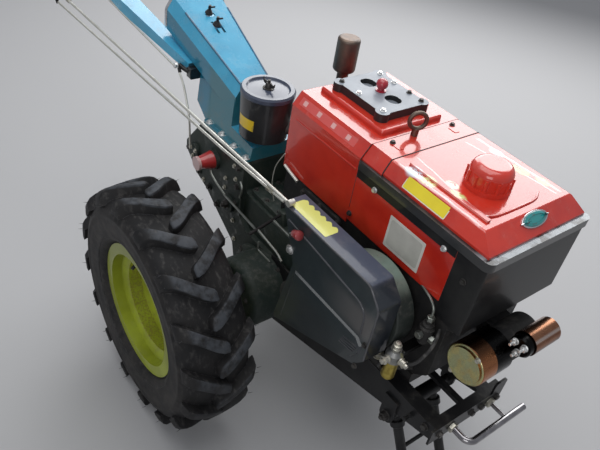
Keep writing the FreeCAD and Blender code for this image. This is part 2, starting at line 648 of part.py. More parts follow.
def guard_floor_z(x):
    """Height of the outside of the guard floor at x."""
    (low_x, low_z), (high_x, high_z) = GUARD_FLOOR
    return low_z + (x - low_x) * (high_z - low_z) / (high_x - low_x)


def guard_outline(inset):
    """Side outline of the belt guard; the inset one runs out through the open rear."""
    rear = -20 if inset else 0
    slant = inset * 1.1
    low_x, high_x = GUARD_FLOOR[0][0] + rear, GUARD_FLOOR[1][0]
    return [(186 + rear, GUARD_TOP_Z - inset), (480, GUARD_TOP_Z - inset), (518 - inset, 672),
            (518 - inset, 520), (high_x, guard_floor_z(high_x) + slant),
            (low_x, guard_floor_z(low_x) + slant), (250 + rear, 575)]


def belt_guard():
    """Pressed guard over the belts, open to the rear and towards the engine."""
    face_y = GUARD_OUT_Y - GUARD_T
    outer = side_plate(guard_outline(0), face_y, GUARD_IN_Y)
    outer = rounded(outer, 14, lambda c, e: runs_along(e, Y_DIR) and c.x > 300)
    inner = side_plate(guard_outline(GUARD_T), GUARD_OUT_Y, GUARD_IN_Y + 1)
    inner = rounded(inner, 14 - GUARD_T, lambda c, e: runs_along(e, Y_DIR) and c.x > 300)
    shell = outer.fuse(pressed_panel(GUARD_SWELL, face_y, GUARD_PRESS, 1.0, 0.95))
    hollow = inner.fuse(pressed_panel(GUARD_SWELL, face_y + GUARD_T + 0.01, GUARD_PRESS, 0.98, 0.93))
    return shell.cut(hollow).removeSplitter()


def guard_bracket():
    """Two straps from the rail to the floor of the guard."""
    straps = []
    for x in (290.0, 440.0):
        near, far = guard_floor_z(x) - 1, guard_floor_z(x + 26) - 1
        straps.append(side_plate([(x, near), (x + 26, far), (x + 26, near - 22), (x, near - 22)],
                                 GUARD_IN_Y - 20, -RAIL_Y))
    return Part.makeCompound(straps)


def cleaner_shape(gap):
    """The air cleaner grown by a gap: a tall can that narrows to its base, with a rolled lid."""
    top, r = CLEANER_TOP_Z, CLEANER_R + gap
    # radius, z
    section = [(0, top - 140), (50, top - 140), (r - 7, top - 132), (r - 2, top - 16), (r, top - 14),
               (r, top - 5), (r - 4, top), (r - 14, top), (r - 18, top - 5), (0, top - 2)]
    return turned(section, Vector(CLEANER_X, CLEANER_Y, 0), Z_DIR)


def air_cleaner():
    """Oil bath air cleaner."""
    return cleaner_shape(0)


def intake_elbow():
    """Pipe from the side of the cleaner down into the head."""
    z = CLEANER_TOP_Z - 98
    pipe = bent_tube([(CLEANER_X + 30, CLEANER_Y + 20, z), (-26, 64, z), (-26, 64, 640)], 18, 34)
    return pipe.cut(cleaner_shape(SEAT_GAP))


def exhaust_pipe():
    """Pipe up from the head."""
    x, y = MUFFLER_X, MUFFLER_Y
    return bent_tube([(x + 40, y - 5, 640), (x + 40, y - 5, 740), (x, y, 800), (x, y, 848)], PIPE_R, 30)


def muffler():
    """Upright muffler."""
    return rounded(upright(MUFFLER_X, MUFFLER_Y, 29, 848, 937), 8, lambda c, e: True)


def starter_motor():
    """Plated starter motor lying across the front."""
    body = disc(STARTER_X, STARTER_Z, STARTER_R, -36, 56)
    body = rounded(body, 4, lambda c, e: c.y < -35)
    return body.fuse(disc(STARTER_X, STARTER_Z, STARTER_R - 7, -40, -36))


def starter_body():
    """Dark drive half of the starter with its foot on the block and a saddle for the solenoid."""
    body = disc(STARTER_X, STARTER_Z, STARTER_BODY_R, 56, 160)
    body = body.fuse(block(592, STARTER_X, 80, 150, STARTER_Z - 20, STARTER_Z + 20))
    body = body.fuse(rod((STARTER_X, 116, STARTER_Z), (SOLENOID_X, 116, SOLENOID_Z), 14))
    return body.cut(disc(SOLENOID_X, SOLENOID_Z, SOLENOID_R + SEAT_GAP, 40, 180))


def starter_solenoid():
    """Plated solenoid beside the starter, with its terminal cap at the near end."""
    at = Vector(SOLENOID_X, 0, SOLENOID_Z)
    r = SOLENOID_R
    return turned([(0, 46), (r - 6, 46), (r - 3, 50), (r - 3, 66), (r, 66), (r, 148), (r - 3, 152),
                   (0, 152)], at, Y_DIR)


def fuel_filter():
    """Fuel filter: cast head, clear cup and an arm to the block."""
    head = turned([(0, 528), (19, 528), (19, 548), (12, 556), (12, 560), (0, 560)],
                  Vector(FILTER_X, FILTER_Y, 0), Z_DIR)
    cup = turned([(0, 468), (9, 468), (15, 476), (15, 528), (0, 528)], Vector(FILTER_X, FILTER_Y, 0), Z_DIR)
    arm = block(FILTER_X - 10, FILTER_X + 10, FILTER_Y, BLOCK_RIGHT_Y, 535, 547)
    return head.fuse(cup).fuse(arm).removeSplitter()


def shaft_cap():
    """Red conical cap on the cover with a pale disc at its end."""
    at = Vector(CAP_SHAFT_X, -COVER_Y - BOSS_T, CAP_SHAFT_Z)
    return turned([(0, 0), (26, 0), (17, -42), (20, -42), (20, -50), (0, -50)], at, Y_DIR)


# handle column sections: x, half width at the top, top z, half width at the shoulder, shoulder z, bottom z
COLUMN_SECTIONS = [(COLUMN_FRONT_X, 44.0, 764.0, 63.0, 734.0, 677.0),
                   (COLUMN_END_X, 72.0, 878.0, 92.0, 846.0, 790.0)]
# base of the column: x, lower z, upper z
BASE_SECTIONS = [(BASE_FRONT_X, CASE_TOP_Z, 648.0), (-205.0, CASE_TOP_Z, 654.0), (-215.0, CASE_TOP_Z, 729.0),
                 (-325.0, CASE_TOP_Z, 765.0), (-386.0, CASE_TOP_Z + 33, 785.0),
                 (BASE_REAR_X, CASE_TOP_Z + 108, 787.0)]
# shift slots in the top of the column: x0, x1, y0, y1
SLOTS = [(-441.0, -397.0, -13.0, -6.0), (-441.0, -397.0, 6.0, 13.0), (-423.0, -415.0, -7.0, 7.0),
         (-472.0, -460.0, -14.0, 14.0)]


def column_ring(values, inset):
    """One six sided section of the column."""
    x, top, top_z, side, side_z, low_z = values
    t = inset
    spots = [Vector(x, -side + t, low_z + t), Vector(x, -side + t, side_z), Vector(x, -top + t, top_z - t),
             Vector(x, top - t, top_z - t), Vector(x, side - t, side_z), Vector(x, side - t, low_z + t)]
    return Part.makePolygon(spots + spots[:1])


def base_half_width(z):
    """Half width of the tapered base of the column at a height."""
    return CASE_HALF_W - BASE_TAPER * (z - CASE_TOP_Z)


def handle_column():
    """Pressed column on its bolted base, open at its rear end, with the two shift slots."""
    body = Part.makeLoft([column_ring(s, 0) for s in COLUMN_SECTIONS], True, True)
    rings = []
    for x, low, high in BASE_SECTIONS:
        wide, slim = base_half_width(low), base_half_width(high)
        rings.append([Vector(x, -wide, low), Vector(x, wide, low), Vector(x, slim, high),
                      Vector(x, -slim, high)])
    body = body.fuse(flat_sided(rings))
    flange = block(-322, BASE_FRONT_X, -CASE_HALF_W - 12, CASE_HALF_W + 12, CASE_TOP_Z, CASE_TOP_Z + 8)
    body = body.fuse(rounded(flange, 10, lambda c, e: runs_along(e, Z_DIR)))
    hollow = Part.makeLoft([column_ring(s, COLUMN_T) for s in COLUMN_SECTIONS], True, True)
    rear_half = block(2 * COLUMN_END_X, -388, -200, 200, 600, 1000)
    body = body.cut(hollow.common(rear_half))
    for x0, x1, y0, y1 in SLOTS:
        body = body.cut(block(x0, x1, y0, y1, 815, 880))
    return body.removeSplitter()


def handlebar():
    """Right handlebar: socket on the column, a pressed beam and the round tube it runs into."""
    start_x = BASE_REAR_X - SOCKET_L
    rings = []
    # x, y, z, half width, half height
    for x, y, z, w, h in [(start_x, -76, 730, 17, 13), (-720, -122, 791, 27, 18), (-900, -152, 832, 15, 15)]:
        rings.append([Vector(x, y - w, z - h), Vector(x, y + w, z - h), Vector(x, y + w, z + h),
                      Vector(x, y - w, z + h)])
    tube = outward(bent_tube([BEAM_END, GRIP_BEND, GRIP_END], TUBE_R, 90))
    socket = rounded(block(start_x, BASE_REAR_X, -98, -56, 704, 735), 5, lambda c, e: runs_along(e, X_DIR))
    return flat_sided(rings).fuse(tube).fuse(socket).removeSplitter()


def grip():
    """Right rubber grip over the end of the tube."""
    a, b = Vector(*GRIP_BEND), Vector(*GRIP_END)
    along = (b - a).normalize()
    start = b - along * GRIP_L
    body = Part.makeCylinder(GRIP_R, GRIP_L + 6, start, along)
    body = rounded(body, 3, lambda c, e: True)
    return body.cut(Part.makeCylinder(TUBE_R + SEAT_GAP, GRIP_L + SEAT_GAP, start, along))


def tube_point(x):
    """A point on the middle line of the right handle tube ahead of its bend."""
    start, bend = Vector(*BEAM_END), Vector(*GRIP_BEND)
    return start + (bend - start) * ((x - start.x) / (bend.x - start.x))


def rod_top():
    """Upper end of the clutch rod, at the foot of the lever arm."""
    return tube_point(LEVER_X) + Vector(0, -19, -165)


def clutch_lever():
    """Clutch lever clamped on the right tube: an arm down to the rod and a hand lever to the rear."""
    at = tube_point(LEVER_X)
    along = (Vector(*GRIP_BEND) - at).normalize()
    clamp = Part.makeCylinder(TUBE_R + 6, 30, at - along * 15, along)
    foot = rod_top() + Vector(0, ROD_R + 6 + SEAT_GAP, 0)
    arm = rod(at + Vector(0, -8, -14), foot, 6)
    hand = rod(at + Vector(-10, -12, -12), at + Vector(-230, -34, 28), 6)
    body = clamp.fuse(arm).fuse(hand)
    return body.cut(Part.makeCylinder(TUBE_R + SEAT_GAP, 60, at - along * 30, along))


def clutch_rod():
    """Long plated rod from the lever down to the top of the belt guard, with an eye at its end."""
    eye_x, eye_z = 206.0, GUARD_TOP_Z + 8
    eye = disc(eye_x, eye_z, 8, GUARD_OUT_Y - 8, GUARD_OUT_Y + 8)
    return rod(rod_top(), (eye_x, GUARD_OUT_Y - 4, eye_z), ROD_R).fuse(eye)


PIECES = {
    "tyre_right": tyre, "rim_right": rim, "hub_right": hub, "axle_housing_right": axle_housing,
    "gearbox_case": gearbox_case, "gearbox_cover_right": gearbox_cover, "hitch_bracket": hitch_bracket,
    "frame_rail_right": frame_rail, "front_cross_member": cross_member, "front_guard_bar": guard_bar,
    "stand_pivot": stand_pivot, "front_stand": front_stand, "engine_block": engine_block,
    "cylinder_head": cylinder_head, "radiator_hood": radiator_hood, "hood_bridge": hood_bridge,
    "radiator_cover": radiator_cover, "fuel_tank": fuel_tank, "tank_cap": tank_cap,
    "tank_band": tank_band, "side_panel_right": side_panel, "side_panel_left": side_panel_left,
    "front_shroud": front_shroud, "lifting_eye": lifting_eye, "drive_belts": drive_belts,
    "engine_pulley": engine_pulley, "clutch_pulley": clutch_pulley, "flywheel": flywheel,
    "belt_guard": belt_guard, "guard_bracket": guard_bracket, "air_cleaner": air_cleaner,
    "intake_elbow": intake_elbow, "exhaust_pipe": exhaust_pipe, "muffler": muffler,
    "starter_motor": starter_motor, "starter_body": starter_body, "starter_solenoid": starter_solenoid,
    "fuel_filter": fuel_filter, "shaft_cap": shaft_cap, "handle_column": handle_column,
    "handlebar_right": handlebar, "grip_right": grip, "clutch_lever": clutch_lever,
    "clutch_rod": clutch_rod,
}
MIRRORED = {
    "tyre_left": "tyre_right", "rim_left": "rim_right", "hub_left": "hub_right",
    "axle_housing_left": "axle_housing_right", "gearbox_cover_left": "gearbox_cover_right",
    "frame_rail_left": "frame_rail_right", "handlebar_left": "handlebar_right", "grip_left": "grip_right",
}


def main():
    os.makedirs("parts", exist_ok=True)
    shapes = {name: make() for name, make in PIECES.items()}
    for name, source in MIRRORED.items():
        shapes[name] = mirrored(shapes[source])
    for name, shape in shapes.items():
        shape.translate(Vector(-ORIGIN_X, 0, -FLOOR_Z))
        shape.exportStep(f"parts/{name}.step")


main()
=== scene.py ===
import json
import math
import random

import bmesh
import bpy
from mathutils import Matrix, Vector


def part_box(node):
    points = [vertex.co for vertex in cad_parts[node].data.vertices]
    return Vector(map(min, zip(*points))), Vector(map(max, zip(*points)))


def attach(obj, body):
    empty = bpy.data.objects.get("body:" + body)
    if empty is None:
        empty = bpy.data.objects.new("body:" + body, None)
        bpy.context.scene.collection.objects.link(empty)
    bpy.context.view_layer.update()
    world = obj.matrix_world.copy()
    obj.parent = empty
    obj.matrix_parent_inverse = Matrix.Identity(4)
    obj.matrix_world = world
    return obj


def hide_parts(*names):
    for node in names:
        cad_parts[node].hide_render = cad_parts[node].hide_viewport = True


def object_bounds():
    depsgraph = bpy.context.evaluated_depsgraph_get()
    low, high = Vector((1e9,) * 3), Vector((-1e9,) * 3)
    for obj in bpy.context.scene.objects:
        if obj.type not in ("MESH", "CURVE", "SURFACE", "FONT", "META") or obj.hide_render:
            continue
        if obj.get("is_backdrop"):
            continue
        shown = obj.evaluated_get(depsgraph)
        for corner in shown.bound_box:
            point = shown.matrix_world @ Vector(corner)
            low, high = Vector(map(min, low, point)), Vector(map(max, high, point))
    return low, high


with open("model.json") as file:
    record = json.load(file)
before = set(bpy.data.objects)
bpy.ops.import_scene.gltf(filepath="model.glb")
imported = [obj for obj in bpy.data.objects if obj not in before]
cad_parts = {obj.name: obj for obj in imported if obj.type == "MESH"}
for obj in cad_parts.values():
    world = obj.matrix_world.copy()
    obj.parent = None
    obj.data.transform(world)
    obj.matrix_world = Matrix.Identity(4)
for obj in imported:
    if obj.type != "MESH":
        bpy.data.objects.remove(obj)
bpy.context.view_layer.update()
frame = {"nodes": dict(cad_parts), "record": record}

# Walking tractor. Lengths in the tables are millimetres from the wheel axle, the middle and the floor.
NODES = frame["nodes"]
rim_low, rim_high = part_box("rim_right")
AXLE_X = (rim_low.x + rim_high.x) / 2
AXLE_Z = (rim_low.z + rim_high.z) * 500
WHEEL_Y = -(rim_low.y + rim_high.y) * 500
TYRE_R = 320.0
COVER_Y = 95.0
MM = 0.001


def spot(x, y, z):
    """A place in the frame from millimetres."""
    return Vector((x * MM + AXLE_X, y * MM, z * MM))


# Materials


class Value:
    """An output of a material's nodes that can be reckoned with like a number."""

    def __init__(self, coat, socket):
        self.coat = coat
        self.socket = socket

    def reckon(self, kind, other, swapped=False):
        pair = (other, self) if swapped else (self, other)
        return self.coat.node("ShaderNodeMath", {"operation": kind}, {0: pair[0], 1: pair[1]})

    def __add__(self, other):
        return self.reckon("ADD", other)

    def __sub__(self, other):
        return self.reckon("SUBTRACT", other)

    def __mul__(self, other):
        return self.reckon("MULTIPLY", other)

    def __truediv__(self, other):
        return self.reckon("DIVIDE", other)

    def __radd__(self, other):
        return self.reckon("ADD", other, True)

    def __rsub__(self, other):
        return self.reckon("SUBTRACT", other, True)

    def __rmul__(self, other):
        return self.reckon("MULTIPLY", other, True)

    def size(self):
        return self.reckon("ABSOLUTE", 0.0)

    def most(self, other):
        return self.reckon("MAXIMUM", other)

    def ramp(self, low, high):
        """0 below low and 1 above high, eased between; the other way round when low is the larger."""
        settings = {"interpolation_type": "SMOOTHSTEP"}
        return self.coat.node("ShaderNodeMapRange", settings, {0: self, 1: low, 2: high, 3: 0.0, 4: 1.0})


class Coat:
    """One material that is being made. Its coordinates are millimetres from the axle and the floor."""

    def __init__(self, name):
        self.material = bpy.data.materials.new(name)
        self.material.use_nodes = True
        self.tree = self.material.node_tree
        self.tree.nodes.clear()
        self.shader = self.tree.nodes.new("ShaderNodeBsdfPrincipled")
        out = self.tree.nodes.new("ShaderNodeOutputMaterial")
        self.tree.links.new(self.shader.outputs[0], out.inputs["Surface"])
        place = self.node("ShaderNodeTexCoord", {}, {}, "Object")
        moved = {"Location": (-AXLE_X / MM, 0, 0), "Scale": (1 / MM, 1 / MM, 1 / MM)}
        self.place = self.node("ShaderNodeMapping", {}, {"Vector": place, **moved})
        self.x, self.y, self.z = self.parts(self.place)
        normal = self.node("ShaderNodeNewGeometry", {}, {}, "Normal")
        self.out_x, self.out_y, self.out_z = self.parts(normal)
        self.normal = normal

    def node(self, kind, settings, inputs, output=0):
        """Adds a node; settings come first, then input values or links."""
        made = self.tree.nodes.new(kind)
        for name, value in settings.items():
            setattr(made, name, value)
        for name, value in inputs.items():
            self.join(value, made.inputs[name])
        return Value(self, made.outputs[output])

    def join(self, value, socket):
        if isinstance(value, Value):
            self.tree.links.new(value.socket, socket)
        else:
            socket.default_value = value

    def parts(self, vector):
        split = self.node("ShaderNodeSeparateXYZ", {}, {0: vector})
        outputs = split.socket.node.outputs
        return [Value(self, outputs[k]) for k in range(3)]

    def noise(self, grain, detail=3.0, rough=0.55, stretch=None):
        """Noise from 0 to 1 whose patches are about grain millimetres across."""
        place = self.place
        if stretch:
            place = self.node("ShaderNodeMapping", {}, {"Vector": place, "Scale": stretch})
        inputs = {"Vector": place, "Scale": 1.0 / grain, "Detail": detail, "Roughness": rough}
        return self.node("ShaderNodeTexNoise", {}, inputs)

    def mix(self, factor, first, second):
        node = self.tree.nodes.new("ShaderNodeMix")
        node.data_type = "RGBA"
        for value, key in [(factor, 0), (first, 6), (second, 7)]:
            if key and not isinstance(value, Value):
                value = (*value, 1.0)
            self.join(value, node.inputs[key])
        return Value(self, node.outputs[2])

    def edges(self, reach, samples=4):
        """1 near a sharp edge and 0 away from it."""
        soft = self.node("ShaderNodeBevel", {"samples": samples}, {"Radius": reach * MM})
        dot = self.node("ShaderNodeVectorMath", {"operation": "DOT_PRODUCT"},
                        {0: soft, 1: self.normal}, "Value")
        return (1.0 - dot).ramp(0.01, 0.09)

    def set(self, **inputs):
        """Sets inputs of the shader, with _ for a space in each name."""
        for name, value in inputs.items():
            if name == "Base_Color" and not isinstance(value, Value):
                value = (*value, 1.0)
            self.join(value, self.shader.inputs[name.replace("_", " ")])

    def bump(self, height, rise, strength=1.0):
        """Raises the surface by height times rise in millimetres."""
        inputs = {"Height": height, "Distance": rise * MM, "Strength": strength}
        self.set(Normal=self.node("ShaderNodeBump", {}, inputs))


DUST = (0.30, 0.28, 0.25)
IRON = (0.10, 0.085, 0.075)


def painted(name, colour, shade, gloss=0.22, coat=0.8, dust=0.25, chips=0.6, bare=IRON, finish_and_painted_light=None, shine=0.5):
    """Paint with slow changes of tone, orange peel, dust on level faces and chips along the edges."""
    made = Coat(name)
    broad = made.noise(90.0, 4.0)
    patch = made.noise(11.0, 5.0)
    tone = made.mix(broad.ramp(0.35, 0.68), colour, shade)
    if finish_and_painted_light:
        tone = finish_and_painted_light(made, tone)
    level = made.out_z.ramp(0.2, 0.95)
    dusty = (level * 0.85 + 0.15) * made.noise(38.0, 6.0, 0.65).ramp(0.48, 0.78) * dust
    tone = made.mix(dusty, tone, DUST)
    worn = made.edges(1.1) * patch.ramp(0.52, 0.60) * chips
    tone = made.mix(worn, tone, bare)
    made.set(Base_Color=tone, Roughness=gloss + broad * 0.08 + dusty * 0.5 + worn * 0.3,
             Coat_Weight=coat * (1.0 - worn) * (1.0 - dusty), Coat_Roughness=0.06, Specular_IOR_Level=shine)
    made.bump(made.noise(3.2, 2.0) * 0.25 + made.noise(0.9, 3.0) * 0.12 - worn * 0.6, 0.12)
    return made


def cast(name, colour, shade, rough=0.55, grain=0.35, dust=0.35, bare=(0.16, 0.15, 0.14), finish_and_painted_light=None, shine=0.4):
    """Painted casting: sand grain, dull and oily patches, worn edges and dust on top."""
    made = Coat(name)
    broad = made.noise(60.0, 5.0)
    sand = made.noise(1.6, 4.0, 0.6)
    oily = made.noise(26.0, 4.0).ramp(0.55, 0.72)
    tone = made.mix(broad.ramp(0.3, 0.7), colour, shade)
    if finish_and_painted_light:
        tone = finish_and_painted_light(made, tone)
    dusty = (made.out_z.ramp(0.1, 0.9) * 0.75 + 0.25) * made.noise(19.0, 6.0, 0.7).ramp(0.45, 0.75) * dust
    tone = made.mix(dusty, tone, DUST)
    worn = made.edges(1.3) * made.noise(9.0, 4.0).ramp(0.42, 0.62) * 0.7
    tone = made.mix(worn, tone, bare)
    made.set(Base_Color=tone, Roughness=rough - oily * 0.22 + dusty * 0.4 + sand * 0.1, Coat_Weight=oily * 0.3,
             Specular_IOR_Level=shine)
    made.bump(sand + made.noise(7.0, 3.0) * 0.8, grain)
    return made


def plated(name, colour, shade, rough=0.24, metal=1.0, finish_and_painted_light=None, stain=0.35):
    """Plated or bare metal with fine drawn lines, dull patches and stains."""
    made = Coat(name)
    broad = made.noise(34.0, 4.0)
    lines = made.noise(1.1, 3.0, 0.6, (1.0, 0.12, 1.0))
    tone = made.mix(broad.ramp(0.3, 0.7), colour, shade)
    if finish_and_painted_light:
        tone = finish_and_painted_light(made, tone)
    stained = made.noise(13.0, 6.0, 0.7).ramp(0.56, 0.74) * stain
    tone = made.mix(stained, tone, (0.11, 0.09, 0.07))
    made.set(Base_Color=tone, Metallic=metal * (1.0 - stained * 0.6), Roughness=rough + lines * 0.14 + stained * 0.3)
    made.bump(lines, 0.05)
    return made


def rubber(name, colour, shade, rough=0.62, dust=0.4, finish_and_painted_light=None):
    """Moulded rubber with a fine skin, scuffs and dust."""
    made = Coat(name)
    broad = made.noise(70.0, 4.0)
    tone = made.mix(broad.ramp(0.3, 0.7), colour, shade)
    scuff = made.noise(20.0, 3.0, 0.6, (1.0, 1.8, 1.0)).ramp(0.5, 0.75)
    dusty = scuff * (made.out_z.ramp(-0.4, 0.9) * 0.7 + 0.3) * dust
    tone = made.mix(dusty, tone, (0.21, 0.20, 0.19))
    if finish_and_painted_light:
        tone = finish_and_painted_light(made, tone)
    rubbed_and_sheen = made.edges(2.2) * made.noise(7.0, 4.0).ramp(0.35, 0.65) * 0.45
    tone = made.mix(rubbed_and_sheen, tone, (0.10, 0.10, 0.105))
    made.set(Base_Color=tone, Roughness=rough + dusty * 0.3 - rubbed_and_sheen * 0.08, Specular_IOR_Level=0.25)
    made.bump(made.noise(1.1, 4.0) * 0.5 + made.noise(4.5, 3.0) * 0.5, 0.18)
    return made


def wheel_radius(made):
    """Distance from the axle, seen from the side."""
    across = made.node("ShaderNodeCombineXYZ", {}, {"X": made.x, "Z": made.z - AXLE_Z})
    return made.node("ShaderNodeVectorMath", {"operation": "LENGTH"}, {0: across}, "Value")


# Finish functions: each adds marks and print to a tone, and several also paint light and shade into it.
def tread_tone(made, tone):
    """Greyer dusty bar tops, paler higher up as painted light and darker low down as painted shade, and brown dust on
    the walls.
    """
    radius = wheel_radius(made)
    tops = radius.ramp(312.0, 317.0) * made.noise(22.0, 5.0).ramp(0.3, 0.62)
    # painted light and shade: the grey of the bar tops grows with height
    painted_light_by_height = made.z.ramp(200.0, 520.0) * 0.45 + 0.12
    tone = made.mix(tops * painted_light_by_height, tone, (0.085, 0.095, 0.11))
    walls = radius.ramp(286.0, 250.0) * made.noise(30.0, 6.0, 0.7, (1.0, 0.4, 1.0)).ramp(0.35, 0.7)
    return made.mix(walls * 0.18, tone, (0.13, 0.115, 0.10))


def rim_tone(made, tone):
    """Earth in the well of the rim, thin rust at the weld of its disc and painted shade darkening the outer flange,
    more so higher up.
    """
    radius = wheel_radius(made)
    earth = radius.ramp(150.0, 128.0) * made.noise(18.0, 6.0, 0.7).ramp(0.50, 0.74)
    tone = made.mix(earth * 0.6, tone, (0.16, 0.14, 0.07))
    weld = (radius - 124.0).size().ramp(5.0, 1.0) * made.noise(5.0, 3.0).ramp(0.4, 0.65)
    tone = made.mix(weld * 0.5, tone, (0.20, 0.11, 0.05))
    # painted shade: the outer flange darkens higher up
    flange = radius.ramp(140.0, 146.0) * (made.z.ramp(230.0, 420.0) * 0.6 + 0.15)
    return made.mix(flange, tone, (0.15, 0.17, 0.012))


def tank_tone(made, tone):
    """Pale swooshes and soft blossoms printed on the top of the tank, and a painted highlight along the pad lip."""
    wave = made.noise(60.0, 1.0) * 14.0 - 7.0
    on_top = made.z.ramp(831.0, 834.0) * made.x.ramp(334.0, 344.0) * made.x.ramp(566.0, 556.0)
    for y, slope, half in [(-24.0, 0.0, 5.0), (18.0, -0.12, 3.0), (222.0, 0.04, 5.0), (196.0, 0.14, 3.0)]:
        line = (made.y + wave - y - (made.x - 440.0) * slope).size().ramp(half, half * 0.4)
        tone = made.mix(line * on_top * 0.6, tone, (0.90, 0.66, 0.64))
    blooms = [(412, -14, 13, (0.74, 0.80, 0.36)), (474, 8, 12, (0.66, 0.78, 0.30)),
              (376, -17, 14, (0.68, 0.80, 0.88)), (443, 26, 10, (0.82, 0.80, 0.55)),
              (470, 210, 13, (0.70, 0.68, 0.14)), (520, 222, 11, (0.50, 0.62, 0.20)),
              (400, 214, 12, (0.66, 0.78, 0.86))]
    for x, y, size, colour in blooms:
        across = made.node("ShaderNodeCombineXYZ", {}, {"X": made.x - x + wave * 0.5, "Y": (made.y - y) * 1.5})
        far = made.node("ShaderNodeVectorMath", {"operation": "LENGTH"}, {0: across}, "Value")
        petal = far.ramp(size * 1.9, size * 1.1) * made.noise(8.0, 2.0).ramp(0.34, 0.46)
        tone = made.mix(petal * on_top * 0.9, tone, colour)
    # painted highlight: pale red on the near side of the pad lip
    bead = made.z.ramp(860.4, 861.0) * made.out_y.ramp(-0.5, -0.9)
    return made.mix(bead * 0.8, tone, (0.95, 0.34, 0.30))


def guard_tone(made, tone):
    """Painted blue-grey reflection along the top strip, a paler patch by the front corner, painted shade on the faces
    that point forward and a dull lower half.
    """
    # painted reflection: level faces of the top strip turn blue-grey
    top = made.out_z.ramp(0.5, 0.9) * made.z.ramp(700.0, 706.0)
    tone = made.mix(top * 0.85, tone, (0.060, 0.074, 0.118))
    pale_patch = made.x.ramp(330.0, 500.0) * (made.z - 606.0).size().ramp(52.0, 16.0) * made.out_y.ramp(-0.7, -0.95)
    tone = made.mix(pale_patch * 0.6, tone, (0.15, 0.14, 0.135))
    # painted shade: faces that point forward are darkened
    tone = made.mix(made.out_x.ramp(0.3, 0.8) * 0.7, tone, (0.014, 0.017, 0.026))
    return made.mix(made.z.ramp(566.0, 500.0) * 0.25, tone, (0.055, 0.052, 0.05))


def starter_tone(made, tone):
    """Green-gold on the end disc, copper red round the wall that is partly the plating's tint and partly painted
    reflection, painted shade on the upper wall and black paint on its far half.
    """
    wall = 1.0 - made.out_y.size().ramp(0.5, 0.9)
    # copper red on the wall: the plating's tint with painted reflection
    tone = made.mix(wall * 0.9, tone, (0.40, 0.13, 0.055))
    # painted shade: upward faces of the wall, away from the front, turn near black
    tone = made.mix(wall * made.out_z.ramp(0.35, 0.95) * made.out_x.ramp(0.9, 0.2) * 0.85, tone, (0.030, 0.018, 0.012))
    green = made.noise(26.0, 2.0).ramp(0.45, 0.6) * made.out_y.ramp(-0.5, -0.9)
    tone = made.mix(green * 0.6, tone, (0.42, 0.48, 0.30))
    return made.mix(made.y.ramp(7.6, 8.4), tone, (0.012, 0.012, 0.012))


def solenoid_tone(made, tone):
    """Copper wall with painted shade on its lower side and a painted highlight along its upper wall, and a black
    moulded cap at its near end.
    """
    tone = made.mix(made.noise(20.0, 2.0).ramp(0.4, 0.6) * 0.4, tone, (0.40, 0.20, 0.11))
    # painted shade: faces turned down and sideways darken
    tone = made.mix(made.out_z.ramp(0.35, -0.1) * 0.75, tone, (0.045, 0.026, 0.020))
    # painted highlight: a pale band along the upper wall
    tone = made.mix((made.out_z - 0.72).size().ramp(0.14, 0.03) * 0.5, tone, (0.85, 0.78, 0.72))
    return made.mix(made.y.ramp(66.4, 65.8), tone, (0.012, 0.012, 0.012))


def filter_tone(made, tone):
    """Amber cup below the cast head."""
    tone = made.mix(made.y.ramp(-108.4, -107.6), tone, (0.015, 0.015, 0.015))
    cup = made.z.ramp(528.4, 527.6)
    amber = made.mix(made.noise(10.0, 3.0).ramp(0.35, 0.65), (0.50, 0.40, 0.10), (0.36, 0.27, 0.06))
    return made.mix(cup, tone, amber)


def cover_tone(made, tone):
    """Gloss black round the sides of the cover; the blue-grey base colour left on its top is painted reflection."""
    return made.mix(made.out_z.ramp(0.8, 0.4), tone, (0.012, 0.012, 0.013))


def flywheel_tone(made, tone):
    """Near black low down on the flywheel."""
    return made.mix(made.z.ramp(676.0, 642.0) * 0.94, tone, (0.018, 0.020, 0.019))


def band_tone(made, tone):
    """Painted pale reflection, in patches, on the level top of the ledge in front of the tank."""
    # painted reflection: level faces near the front turn pale
    rubbed_and_sheen = made.out_z.ramp(0.8, 0.95) * made.x.ramp(575.0, 612.0) * made.noise(45.0, 3.0).ramp(0.40, 0.54)
    return made.mix(rubbed_and_sheen * 0.85, tone, (0.30, 0.34, 0.37))


def handle_tone(made, tone):
    """Black socket at the foot of each handlebar."""
    return made.mix(made.x.ramp(-412.6, -411.8), tone, (0.012, 0.013, 0.014))


def column_tone(made, tone):
    """Painted shade on the sides of the column, deep blue above and grey-teal on the sides of its base, darker on the
    level foot flange, with road film low down.
    """
    # painted shade: upright faces turn deeper blue
    side = 1.0 - made.out_z.size().ramp(0.15, 0.6)
    tone = made.mix(side * 0.85, tone, (0.008, 0.16, 0.26))
    # painted shade: the sides of the base turn grey-teal
    base = side * made.x.ramp(-345.0, -315.0)
    tone = made.mix(base * 0.75, tone, (0.035, 0.17, 0.20))
    flange = made.out_z.ramp(0.8, 0.95) * made.z.ramp(640.0, 626.0)
    tone = made.mix(flange * 0.75, tone, (0.02, 0.11, 0.14))
    film = made.z.ramp(720.0, 625.0) * made.noise(40.0, 6.0, 0.7).ramp(0.4, 0.75)
    return made.mix(film * 0.5, tone, (0.10, 0.16, 0.15))


def cleaner_tone(made, tone):
    """Grey-blue lid over the black can."""
    return made.mix(made.z.ramp(783.0, 785.0), tone, (0.045, 0.058, 0.095))


def cap_tone(made, tone):
    """Pale disc at the end of the red cone."""
    return made.mix(made.y.ramp(-146.6, -147.2), tone, (0.66, 0.42, 0.40))


